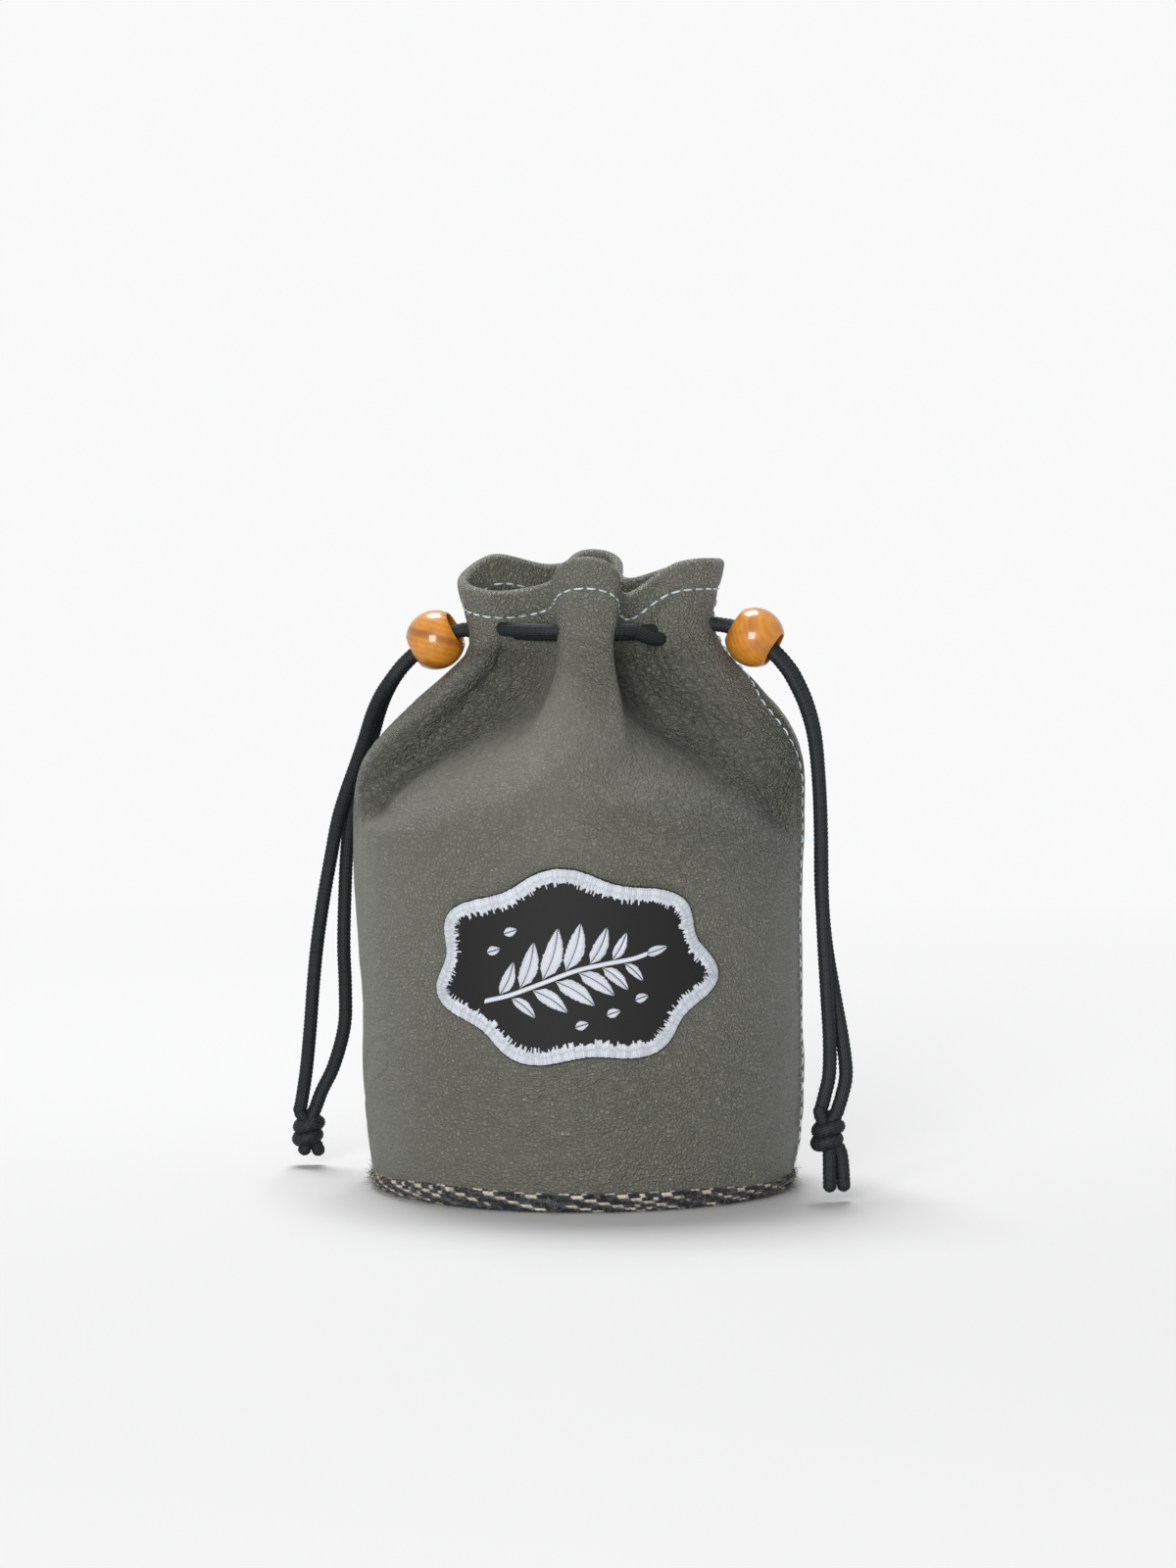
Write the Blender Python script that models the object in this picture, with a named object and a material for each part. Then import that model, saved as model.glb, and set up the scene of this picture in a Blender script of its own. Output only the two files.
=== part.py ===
"""Drawstring valuables pouch: leather body on a tweed base, two opposed drawcords with wooden beads.

The pouch stands on the floor at z = 0 with its middle on the Z axis. Its front, which carries
the patch, faces -Y, and +X is its right-hand side. Lengths are in metres, angles in degrees.
"""
import bmesh
import bpy
import numpy as np
from math import atan2, ceil, cos, exp, floor, pi, radians, sin, tan
from mathutils import Vector

MM = 0.001

# Driving dimensions of the leather body
BODY_RADIUS = 60.0 * MM
NECK_HEIGHT = 150.0 * MM
RIM_RISE = 16.0 * MM
LEATHER = 1.5 * MM
HEM_WIDTH = 9.8 * MM
SEAM_GAP = 0.4 * MM
FIT_GAP = 0.3 * MM
EDGE_HEIGHT = 5.2 * MM
EDGE_WAVE = 0.9 * MM
VALLEY_RADIUS = 18.4 * MM

# Outside radius at the neck and at the rim of the right, left, front and back folds
NECK_REACH = {"right": 35.4 * MM, "left": 29.9 * MM, "front": 29.3 * MM, "back": 29.3 * MM}
RIM_REACH = {"right": 38.6 * MM, "left": 33.0 * MM, "front": 32.4 * MM, "back": 31.4 * MM}

# Side outlines: share of the neck height, and share of the way from the neck's radius to the body's
OUTLINE = {
    "right": [(0.02, 0.86), (0.107, 0.98), (0.32, 1.0), (0.49, 0.975), (0.67, 1.01), (0.747, 0.995),
              (0.80, 0.93), (0.853, 0.745), (0.90, 0.47), (0.94, 0.215), (0.97, 0.08), (1.0, 0.0)],
    "left": [(0.02, 0.84), (0.107, 0.90), (0.32, 0.935), (0.49, 0.99), (0.67, 1.02), (0.74, 0.955),
             (0.793, 0.815), (0.86, 0.51), (0.92, 0.19), (0.955, 0.04), (0.98, 0.0), (1.0, 0.0)],
    "front": [(0.02, 0.87), (0.107, 0.92), (0.32, 0.935), (0.49, 0.935), (0.63, 0.92), (0.733, 0.82),
              (0.81, 0.62), (0.88, 0.36), (0.93, 0.15), (0.97, 0.03), (1.0, 0.0)],
    "back": [(0.02, 0.88), (0.107, 0.95), (0.32, 0.985), (0.49, 0.985), (0.63, 0.96), (0.733, 0.83),
             (0.81, 0.62), (0.88, 0.36), (0.93, 0.15), (0.97, 0.03), (1.0, 0.0)],
}

# Angles of the four folds and the four valleys between them, counted from the front fold
NECK_ANGLES = [-86.5, -45.0, -3.0, 44.0, 82.0, 118.0, 191.0, 235.5]
BODY_ANGLES = [-91.0, -38.0, -1.0, 42.0, 88.0, 142.0, 180.0, 208.0]
# Height of the rim above its mean, at each fold and valley and halfway between them
RIM_HEIGHTS = [4.2, -1.0, -6.2, 2.0, 2.4, 0.5, -3.6, 0.0, 3.4, 1.5, 0.0, 3.0, -3.4, -5.6, -4.0, 0.2]
FOLD_TOP = 0.955
FOLD_FOOT = 0.62
FOLD_SOFTNESS = 1.6
FLANK_STEEPNESS = 0.52
# Where the folds turn from the body's angles to the neck's, and where the rim's rise and fall begins,
# as shares of the neck height
DRIFT_FOOT = 0.70
DRIFT_SPAN = 0.27
RIM_FOOT = 0.86
EDGE_REACH = 0.1
# How much wider the valleys grow for each unit of height above the neck
VALLEY_FLARE = 0.1
# Waves of the lower edge round the body: share of the wave height, number and start in radians
EDGE_WAVES = [(0.6, 2, -0.9), (0.4, 5, 0.6)]
RIGHT_SEAM = 1.85
LEFT_SEAM = 5.60

# Tweed base: height of its inside floor, and its side as points of (distance in from the body's
# radius, share of the leather edge's height, height above that), in millimetres but for the share
BASE_FLOOR = 3.2 * MM
BASE_PROFILE = [(6.0, 0.0, 0.0), (2.4, 0.0, 0.7), (0.5, 0.0, 2.2), (0.1, 1.0, -1.3), (0.6, 1.0, -0.3),
                (2.6, 1.0, -0.3), (3.6, 0.0, BASE_FLOOR / MM)]

# Patch: its size along the leather, its middle and its outline's shallow lobes
PATCH_WIDTH = 82.0 * MM
PATCH_HEIGHT = 52.4 * MM
PATCH_SIDE = -1.6 * MM
PATCH_LEVEL = 64.5 * MM
PATCH_THICKNESS = 1.2 * MM
PATCH_LOBES = 7
PATCH_LOBE_DEPTH = 0.06
PATCH_LOBE_START = 0.8
PATCH_GAP = 0.4 * MM

# Cords and beads
CORD = 3.8 * MM
CORD_PITCH = CORD + FIT_GAP
CORD_STEP = 2.0 * CORD
RUN_STEP = 1.2 * CORD
SLIT_CLEARANCE = 0.45 * MM
SLIT_REACH = CORD_STEP + 0.8 * MM
BEAD = 16.0 * MM
BORE_CLEARANCE = 0.8 * MM
BEAD_BORE = 2 * CORD + FIT_GAP + 2 * BORE_CLEARANCE
BEAD_CHAMFER = 0.6 * MM
LEFT_LOOP_RADIUS = 25.1 * MM
RIGHT_LOOP_RADIUS = 20.95 * MM
LEFT_LOOP_HEIGHT = 150.4 * MM
RIGHT_LOOP_HEIGHT = 149.2 * MM
LOOP_DIP = CORD
# The left loop stays down to this angle each side of the right-hand bead, and is up again this much on
DIP_REACH = 39.0
DIP_FADE = 20.0
LEFT_LOOP_POINTS = 33
RIGHT_LOOP_POINTS = 29

# Each bead runs on a round stretch of its cord: the bead's middle, the stretch's radius, the way it
# heads in plan, its fall at the bead, and the angles that it reaches each side of the bead
LEFT_RUN = {"bead": (-38.5, 0.0, 146.6), "radius": 32.0, "heading": 170.0, "fall": 28.0,
            "span": (12.5, 28.0)}
RIGHT_RUN = {"bead": (46.6, -3.6, 147.5), "radius": 30.0, "heading": -14.0, "fall": 30.0,
             "span": (13.0, 29.0)}

# Routes of the two strands of each cord below its bead, in millimetres: the middle of the pair, the
# way from one strand to the other in plan, and half the distance between them
LEFT_FALL = [
    (-52.6, 5.2, 131.6, 72, 2.05), (-54.9, 9.6, 126.0, 66, 2.05), (-57.0, 14.4, 119.0, 62, 2.05),
    (-59.3, 18.6, 112.0, 58, 2.05), (-61.7, 21.8, 104.9, 52, 2.05), (-63.9, 24.5, 96.7, 40, 2.1),
    (-65.4, 26.4, 87.0, 28, 2.3), (-66.9, 28.3, 74.0, 16, 3.0), (-68.0, 30.0, 61.0, 8, 3.7),
    (-68.4, 31.6, 50.0, 8, 4.4), (-69.0, 33.4, 39.0, 10, 4.7), (-71.0, 35.4, 28.0, 12, 3.8),
    (-73.2, 36.6, 20.8, 12, 2.6), (-74.3, 36.9, 16.8, 8, 2.15),
]
RIGHT_FALL = [
    (60.2, -8.4, 130.0, 80, 2.05), (62.4, -11.6, 121.5, 84, 2.05), (63.5, -15.2, 109.0, 88, 2.05),
    (63.9, -18.6, 96.0, 90, 2.05), (64.0, -22.0, 82.0, 90, 2.05), (64.8, -25.2, 68.0, 82, 2.05),
    (66.2, -28.0, 55.0, 62, 2.05), (67.6, -30.2, 43.0, 36, 2.1), (68.0, -31.8, 34.0, 14, 2.3),
    (66.9, -32.8, 28.4, 4, 2.3), (66.0, -33.0, 25.2, 0, 2.2),
]
# From each bead in through the leather to the loop round the mouth, in millimetres
LEFT_ENTRY_FRONT = [(-28.6, -4.5, 149.5), (-26.0, -6.7, 150.1), (-24.1, -9.4, 150.4)]
LEFT_ENTRY_BACK = [(-27.6, 1.9, 149.5), (-24.8, 4.7, 150.1), (-23.8, 8.5, 150.4)]
RIGHT_ENTRY_FRONT = [(36.0, -4.2, 150.9), (32.2, -4.9, 151.4), (28.4, -6.6, 151.5), (24.6, -9.0, 151.2),
                     (20.4, -11.6, 150.4), (16.1, -14.0, 149.6)]
RIGHT_ENTRY_BACK = [(36.4, 1.0, 150.9), (32.0, 2.6, 151.4), (28.0, 5.0, 151.5), (24.4, 8.2, 151.2),
                    (20.3, 11.2, 150.4), (16.1, 13.9, 149.6)]
LEFT_LOOP_ENDS = (-152.0, 155.0)
RIGHT_LOOP_ENDS = (-50.0, -310.0)

# Knots: middle, half sizes, the tails' ends, and the height and lean of the turns of cord round each
LEFT_KNOT = {"middle": (-74.4, 37.0, 10.1), "half": (4.6, 4.6, 6.2),
             "tails": [(-75.8, 36.6, 2.9), (-71.3, 38.6, 2.6)], "turns": [(2.1, 24.0), (-1.9, -20.0)]}
RIGHT_KNOT = {"middle": (65.4, -33.0, 18.2), "half": (4.7, 4.7, 6.2),
              "tails": [(66.0, -33.6, 2.6), (69.8, -32.2, 2.6)], "turns": [(2.3, 22.0), (-1.7, -22.0)]}
# Width of a knot between its turns as a share of its whole width, a turn's width in cords, and where
# the tails start inside the knot as a share of the way out
KNOT_CORE = 0.82
TURN_WIDTH = 0.42
TAIL_START = 0.3

# Facets
COLUMNS_PER_FOLD = 10
BASE_COLUMNS = 40
PATCH_TURNS = 40
PATCH_RINGS = 6
BEAD_ROWS = 10
BEAD_COLUMNS = 24
KNOT_COLUMNS = 20
KNOT_ROWS = 14
ROUTE_PARTS = 12
SMOOTH_ANGLE = 40
# Rows of the leather: shares of the way up its body, and heights from the hem's lower edge
LEVEL_SHARES = [0.0, 0.07, 0.20, 0.36, 0.52, 0.62, 0.69, 0.745, 0.795, 0.84, 0.88, 0.915, 0.945, 0.972, 1.0]
HEM_ROWS = [-2.8 * MM, 0.0, 0.5 * MM, 4.0 * MM]
HALF_TURN = 180.0


def clear_scene():
    for old in list(bpy.data.objects):
        bpy.data.objects.remove(old, do_unlink=True)


def finish_material(name, colour, roughness, metallic=0.0):
    material = bpy.data.materials.new(name)
    material.use_nodes = True
    shader = material.node_tree.nodes["Principled BSDF"]
    shader.inputs["Base Color"].default_value = (*colour, 1.0)
    shader.inputs["Roughness"].default_value = roughness
    shader.inputs["Metallic"].default_value = metallic
    return material


def add_object(name, mesh, material, smooth_angle=None):
    piece = bpy.data.objects.new(name, mesh)
    bpy.context.scene.collection.objects.link(piece)
    mesh.materials.append(material)
    if smooth_angle is not None:
        mesh.shade_smooth()
        mesh.set_sharp_from_angle(angle=radians(smooth_angle))
    return piece


def mesh_from(name, points, faces):
    mesh = bpy.data.meshes.new(name)
    mesh.from_pydata([tuple(point) for point in points], [], faces)
    mesh.validate()
    return mesh


def ease(value):
    """Smooth step from 0 to 1."""
    value = min(max(value, 0.0), 1.0)
    return value * value * (3.0 - 2.0 * value)


def cubic(before, low, high, after, share):
    """Cubic through low and high that leaves and arrives in line with their neighbours."""
    slope_low = (high - before) / 2.0
    slope_high = (after - low) / 2.0
    square = share * share
    cube = square * share
    return ((2 * cube - 3 * square + 1) * low + (cube - 2 * square + share) * slope_low
            + (3 * square - 2 * cube) * high + (cube - square) * slope_high)


def along_ring(values, phase, turn=0.0):
    """Smooth value round a closed ring of equally spaced values, which grow by turn each time round."""
    count = len(values)
    start = floor(phase)

    def value(index):
        return values[index % count] + turn * (index // count)

    return cubic(value(start - 1), value(start), value(start + 1), value(start + 2), phase - start)


def along_outline(points, place):
    """Smooth value along an outline of (place, value) points, level past its ends."""
    places = [point[0] for point in points]
    values = [point[1] for point in points]
    if place <= places[0]:
        return values[0]
    if place >= places[-1]:
        return values[-1]
    index = int(np.searchsorted(places, place)) - 1
    index = max(index, 0)
    span = places[index + 1] - places[index]
    share = (place - places[index]) / span
    slopes = []
    for here in (index, index + 1):
        low = max(here - 1, 0)
        high = min(here + 1, len(points) - 1)
        slopes.append((values[high] - values[low]) / (places[high] - places[low]) * span)
    square = share * share
    cube = square * share
    return ((2 * cube - 3 * square + 1) * values[index] + (cube - 2 * square + share) * slopes[0]
            + (3 * square - 2 * cube) * values[index + 1] + (cube - square) * slopes[1])


def side_weights(angle):
    """How much each side's outline counts in a direction."""
    across = cos(angle)
    along = sin(angle)
    return {"right": max(across, 0.0) ** 2, "left": max(-across, 0.0) ** 2,
            "back": max(along, 0.0) ** 2, "front": max(-along, 0.0) ** 2}


def fold_radius(angle, height):
    """Outside radius on the crest of a fold; below the folds it is the body's own radius."""
    above = max(height - NECK_HEIGHT, 0.0) / RIM_RISE
    radius = 0.0
    for side, weight in side_weights(angle).items():
        neck = NECK_REACH[side]
        reach = neck + (BODY_RADIUS - neck) * along_outline(OUTLINE[side], height / NECK_HEIGHT)
        radius += weight * (reach + (RIM_REACH[side] - neck) * ease(above))
    return radius


def fold_depth(height):
    """0 on the plain body, 1 where the folds are gathered at the neck."""
    share = (height / NECK_HEIGHT - FOLD_FOOT) / (FOLD_TOP - FOLD_FOOT)
    return ease(share) ** FOLD_SOFTNESS


def leather_angle(phase, height):
    """Direction of a line down the leather. A phase of 0, 2, 4 or 6 is a fold, an odd one a valley."""
    gather = fold_depth(height)
    drift = ease((height / NECK_HEIGHT - DRIFT_FOOT) / DRIFT_SPAN)
    pinch = FLANK_STEEPNESS * gather / (2 * pi)
    bent = phase + pinch * sin(2 * pi * phase)
    body = along_ring(BODY_ANGLES, bent, 2 * HALF_TURN)
    neck = along_ring(NECK_ANGLES, bent, 2 * HALF_TURN)
    return radians(body + (neck - body) * drift)


def edge_height(angle):
    """Height of the leather's lower edge, which waves a little."""
    wave = sum(share * sin(angle * number + start) for share, number, start in EDGE_WAVES)
    return EDGE_HEIGHT + EDGE_WAVE * wave


def rim_height(phase):
    return NECK_HEIGHT + RIM_RISE + along_ring(RIM_HEIGHTS, phase * 2) * MM


def leather_point(phase, height):
    """Point on the outside of the leather. Height runs from its lower edge to its rim."""
    angle = leather_angle(phase, height)
    crest = fold_radius(angle, height)
    share = 0.5 + 0.5 * cos(pi * phase)
    floor_radius = VALLEY_RADIUS + VALLEY_FLARE * max(height - NECK_HEIGHT, 0.0)
    valley = crest + (floor_radius - crest) * fold_depth(height)
    radius = valley + (crest - valley) * share
    top = NECK_HEIGHT + RIM_RISE
    foot = RIM_FOOT * NECK_HEIGHT
    rise = (rim_height(phase) - top) * ease((height - foot) / (top - foot))
    near_edge = 1.0 - ease((height - EDGE_HEIGHT) / (EDGE_REACH * NECK_HEIGHT))
    drop = (edge_height(angle) - EDGE_HEIGHT) * near_edge
    return Vector((radius * cos(angle), radius * sin(angle), height + rise + drop))


def leather_frame(phase, height):
    """Point, outward normal and upward direction on the leather's outside."""
    step_phase = 0.01
    step_height = 0.2 * MM
    across = leather_point(phase + step_phase, height) - leather_point(phase - step_phase, height)
    upward = leather_point(phase, height + step_height) - leather_point(phase, height - step_height)
    across.normalize()
    upward.normalize()
    return leather_point(phase, height), across.cross(upward).normalized(), upward


def leather_levels():
    """Heights of the rows of the leather, with a close pair where the hem starts."""
    top = NECK_HEIGHT + RIM_RISE
    levels = [EDGE_HEIGHT + (NECK_HEIGHT - EDGE_HEIGHT) * share for share in LEVEL_SHARES]
    levels += [top - HEM_WIDTH + row for row in HEM_ROWS]
    return levels + [top - LEATHER]


def leather_section(phase):
    """Closed section of the leather: up its outside, over the folded rim and down its inside."""
    outside = []
    inside = []
    hem = NECK_HEIGHT + RIM_RISE - HEM_WIDTH
    for level in leather_levels():
        point, normal, upward = leather_frame(phase, level)
        thickness = 2 * LEATHER if level > hem else LEATHER
        outside.append(point)
        inside.append(point - normal * thickness)
    rim = []
    middle = point - normal * LEATHER
    for step in (1, 2, 3):
        turn = radians(step * HALF_TURN / 4)
        rim.append(middle + normal * LEATHER * cos(turn) + upward * LEATHER * sin(turn))
    return outside + rim + inside[::-1]


def leather_panel(name, start, end, material):
    """One leather panel between two seams, with its end columns drawn back by half the seam gap."""
    columns = round((end - start) * COLUMNS_PER_FOLD)
    sections = [leather_section(start + (end - start) * index / columns) for index in range(columns + 1)]
    for edge, inner in ((0, 1), (-1, -2)):
        for index, point in enumerate(sections[edge]):
            toward = (sections[inner][index] - point).normalized()
            sections[edge][index] = point + toward * SEAM_GAP / 2
    size = len(sections[0])
    faces = []
    for column in range(columns):
        for row in range(size):
            low = column * size
            high = low + size
            after = (row + 1) % size
            faces.append((low + row, high + row, high + after, low + after))
    for base, turned in ((0, False), (columns * size, True)):
        for row in range(size // 2):
            other = size - 1 - row
            face = (base + row, base + row + 1, base + other - 1, base + other)
            if row + 1 == other - 1:
                face = (base + row, base + row + 1, base + other)
            faces.append(face[::-1] if turned else face)
    points = [point for section in sections for point in section]
    return add_object(name, mesh_from(name, points, faces), material, smooth_angle=SMOOTH_ANGLE)


def cut_slits(panel, cutters):
    for cutter in cutters:
        cut = panel.modifiers.new("slit " + cutter.name, "BOOLEAN")
        cut.operation = "DIFFERENCE"
        cut.solver = "EXACT"
        cut.object = cutter


def tweed_base(material):
    """Shallow round base whose bulging side reaches up to the leather's lower edge."""
    points = []
    for column in range(BASE_COLUMNS):
        angle = 2 * pi * column / BASE_COLUMNS
        radius = fold_radius(angle, EDGE_HEIGHT)
        for inset, follow, level in BASE_PROFILE:
            away = radius - inset * MM
            height = follow * edge_height(angle) + level * MM
            points.append((away * cos(angle), away * sin(angle), height))
    size = len(BASE_PROFILE)
    faces = []
    for column in range(BASE_COLUMNS):
        low = column * size
        high = ((column + 1) % BASE_COLUMNS) * size
        for row in range(size - 1):
            faces.append((low + row, high + row, high + row + 1, low + row + 1))
    faces.append(tuple(column * size for column in range(BASE_COLUMNS))[::-1])
    faces.append(tuple(column * size + size - 1 for column in range(BASE_COLUMNS)))
    mesh = mesh_from("tweed_base", points, faces)
    return add_object("tweed_base", mesh, material, smooth_angle=SMOOTH_ANGLE)


def patch_outline(turn):
    """Distance from the patch's middle to its edge, as shares of its half width and half height."""
    lobe = 1.0 - PATCH_LOBE_DEPTH + PATCH_LOBE_DEPTH * cos(PATCH_LOBES * turn + PATCH_LOBE_START)
    return lobe * cos(turn), lobe * sin(turn)


def patch_point(share, turn, lift):
    """Point of the patch, wrapped on the leather at a height above it."""
    wide, high = patch_outline(turn)
    middle = -pi / 2 + PATCH_SIDE / BODY_RADIUS
    angle = middle + share * wide * PATCH_WIDTH / 2 / BODY_RADIUS
    height = PATCH_LEVEL + share * high * PATCH_HEIGHT / 2
    radius = fold_radius(angle, height) + lift
    return radius * cos(angle), radius * sin(angle), height


def patch(material):
    """Thin embroidered patch that follows the leather's front."""
    shares = [ring / PATCH_RINGS for ring in range(1, PATCH_RINGS + 1)]
    points = []
    for lift in (PATCH_GAP, PATCH_GAP + PATCH_THICKNESS):
        points.append(patch_point(0.0, 0.0, lift))
        for share in shares:
            points += [patch_point(share, 2 * pi * step / PATCH_TURNS, lift) for step in range(PATCH_TURNS)]
    layer = 1 + PATCH_TURNS * len(shares)
    faces = []
    for base, turned in ((0, True), (layer, False)):
        for step in range(PATCH_TURNS):
            after = (step + 1) % PATCH_TURNS
            faces.append(turned_face((base, base + 1 + step, base + 1 + after), turned))
            for ring in range(len(shares) - 1):
                low = base + 1 + ring * PATCH_TURNS
                high = low + PATCH_TURNS
                faces.append(turned_face((low + step, high + step, high + after, low + after), turned))
    rim = 1 + PATCH_TURNS * (len(shares) - 1)
    for step in range(PATCH_TURNS):
        after = (step + 1) % PATCH_TURNS
        faces.append((rim + step, rim + after, layer + rim + after, layer + rim + step))
    return add_object("patch", mesh_from("patch", points, faces), material, smooth_angle=SMOOTH_ANGLE)


def turned_face(face, turned):
    return face[::-1] if turned else face


def run_frame(run):
    """Plan direction of a cord's round stretch, its hinge axis and the centre of its arc."""
    turn = radians(run["heading"])
    ahead = Vector((cos(turn), sin(turn), 0.0))
    axis = Vector((-sin(turn), cos(turn), 0.0))
    radius = run["radius"] * MM
    fall = radians(run["fall"])
    middle = Vector(run["bead"]) * MM
    centre = middle - (ahead * sin(fall) + Vector((0, 0, 1)) * cos(fall)) * radius
    return ahead, axis, centre


def run_points(run, side):
    """One strand's points on the round stretch, from the leather outward."""
    ahead, axis, centre = run_frame(run)
    radius = run["radius"] * MM
    back, forth = run["span"]
    count = ceil(radius * radians(back + forth) / RUN_STEP)
    points = []
    for step in range(count + 1):
        fall = radians(run["fall"] - back + (back + forth) * step / count)
        middle = centre + (ahead * sin(fall) + Vector((0, 0, 1)) * cos(fall)) * radius
        points.append(middle + axis * side * CORD_PITCH / 2)
    return points


def fall_points(rows, side):
    """One strand's points below its bead."""
    points = []
    for x, y, z, heading, half in rows:
        turn = radians(heading)
        points.append(Vector((x + side * half * cos(turn), y + side * half * sin(turn), z)) * MM)
    return points


def loop_points(ends, count, radius, height, dip=0.0):
    """The loop round the mouth, which may dip under the other cord's ends on the right-hand side."""
    points = []
    for angle in np.linspace(*ends, count):
        share = 1.0 - ease((abs(angle) - DIP_REACH) / DIP_FADE)
        turn = radians(angle)
        points.append(Vector((radius * cos(turn), radius * sin(turn), height - dip * share)))
    return points


def scaled(points):
    return [Vector(point) * MM for point in points]


def left_cord_route():
    """Whole left cord: up the front strand, round the mouth and down the back strand."""
    front = fall_points(LEFT_FALL, -1)[::-1] + run_points(LEFT_RUN, 1)[::-1]
    back = run_points(LEFT_RUN, -1) + fall_points(LEFT_FALL, 1)
    loop = loop_points(LEFT_LOOP_ENDS, LEFT_LOOP_POINTS, LEFT_LOOP_RADIUS, LEFT_LOOP_HEIGHT, LOOP_DIP)
    return front + scaled(LEFT_ENTRY_FRONT) + loop + scaled(LEFT_ENTRY_BACK)[::-1] + back


def right_cord_route():
    """Whole right cord: up the front strand, round the mouth and down the back strand."""
    front = fall_points(RIGHT_FALL, -1)[::-1] + run_points(RIGHT_RUN, -1)[::-1]
    back = run_points(RIGHT_RUN, 1) + fall_points(RIGHT_FALL, 1)
    loop = loop_points(RIGHT_LOOP_ENDS, RIGHT_LOOP_POINTS, RIGHT_LOOP_RADIUS, RIGHT_LOOP_HEIGHT)
    return front + scaled(RIGHT_ENTRY_FRONT) + loop + scaled(RIGHT_ENTRY_BACK)[::-1] + back


def smooth_route(points, step):
    """Evenly spaced points on the smooth curve through a route's own points."""
    dense = []
    padded = [points[0] * 2 - points[1]] + points + [points[-1] * 2 - points[-2]]
    for index in range(1, len(padded) - 2):
        before, low, high, after = padded[index - 1:index + 3]
        for part in range(ROUTE_PARTS):
            dense.append(cubic(before, low, high, after, part / ROUTE_PARTS))
    dense.append(points[-1])
    lengths = [0.0]
    for low, high in zip(dense, dense[1:]):
        lengths.append(lengths[-1] + (high - low).length)
    count = max(2, round(lengths[-1] / step))
    even = []
    for index in range(count + 1):
        place = lengths[-1] * index / count
        found = min(max(int(np.searchsorted(lengths, place)), 1), len(dense) - 1)
        span = lengths[found] - lengths[found - 1]
        even.append(dense[found - 1].lerp(dense[found], (place - lengths[found - 1]) / span))
    return even


def tube(name, points, radius, material):
    """Round tube on a run of points, as a bevelled curve with filled ends."""
    curve = bpy.data.curves.new(name, "CURVE")
    curve.dimensions = "3D"
    curve.bevel_depth = radius
    curve.bevel_resolution = 2
    curve.use_fill_caps = True
    spline = curve.splines.new("POLY")
    spline.points.add(len(points) - 1)
    for place, point in zip(spline.points, points):
        place.co = (*point, 1.0)
    curve.materials.append(material)
    piece = bpy.data.objects.new(name, curve)
    bpy.context.scene.collection.objects.link(piece)
    return piece


def solid_from(piece):
    """Mesh of a tube, and the tube itself taken away."""
    depsgraph = bpy.context.evaluated_depsgraph_get()
    mesh = bpy.data.meshes.new_from_object(piece.evaluated_get(depsgraph))
    bpy.data.objects.remove(piece, do_unlink=True)
    return mesh


def slit_cutters(material):
    """Guides that follow each cord's two halves through the leather, a clearance wider than the cord."""
    halves = []
    for side, route in (("left", left_cord_route()), ("right", right_cord_route())):
        reach = NECK_REACH[side] + SLIT_REACH
        inner = [point for point in smooth_route(route, CORD_STEP) if point.to_2d().length < reach]
        middle = len(inner) // 2
        halves.append((side + "_front", inner[:middle + 2]))
        halves.append((side + "_back", inner[middle - 1:]))
    cutters = []
    for name, points in halves:
        guide = tube(name, points, CORD / 2 + SLIT_CLEARANCE, material)
        mesh = solid_from(guide)
        cutter = bpy.data.objects.new("slit_" + name, mesh)
        bpy.context.scene.collection.objects.link(cutter)
        cutter.display_type = "WIRE"
        cutter.hide_render = True
        cutters.append(cutter)
    return cutters


def bead_mesh(name):
    """Ball with a straight bore along Z and a small chamfer at each mouth of the bore."""
    radius = BEAD / 2
    bore = BEAD_BORE / 2
    start = atan2((bore + BEAD_CHAMFER), (radius ** 2 - (bore + BEAD_CHAMFER) ** 2) ** 0.5)
    outline = []
    for step in range(BEAD_ROWS + 1):
        turn = start + (pi - 2 * start) * step / BEAD_ROWS
        outline.append((radius * sin(turn), radius * cos(turn)))
    end = outline[-1][1]
    outline += [(bore, end + BEAD_CHAMFER), (bore, -end - BEAD_CHAMFER)]
    shape = bmesh.new()
    corners = [shape.verts.new((away, 0.0, height)) for away, height in outline]
    rim = [shape.edges.new((corners[index - 1], corners[index])) for index in range(len(corners))]
    bmesh.ops.spin(shape, geom=corners + rim, cent=(0, 0, 0), axis=(0, 0, 1), angle=2 * pi,
                   steps=BEAD_COLUMNS, use_merge=True)
    bmesh.ops.remove_doubles(shape, verts=shape.verts, dist=0.001 * MM)
    bmesh.ops.recalc_face_normals(shape, faces=shape.faces)
    mesh = bpy.data.meshes.new(name)
    shape.to_mesh(mesh)
    shape.free()
    return mesh


def bead(name, run, material):
    """Wooden bead on its cord, carried by an empty on the axis that it turns about."""
    ahead, axis, centre = run_frame(run)
    pivot = bpy.data.objects.new(name + "_pivot", None)
    bpy.context.scene.collection.objects.link(pivot)
    pivot.location = centre
    fall = radians(run["fall"])
    bore = ahead * cos(fall) - Vector((0, 0, 1)) * sin(fall)
    piece = add_object(name, bead_mesh(name), material, smooth_angle=SMOOTH_ANGLE)
    piece.parent = pivot
    piece.location = Vector(run["bead"]) * MM - centre
    piece.rotation_mode = "QUATERNION"
    piece.rotation_quaternion = bore.to_track_quat("Z", "Y")
    return piece


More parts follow.
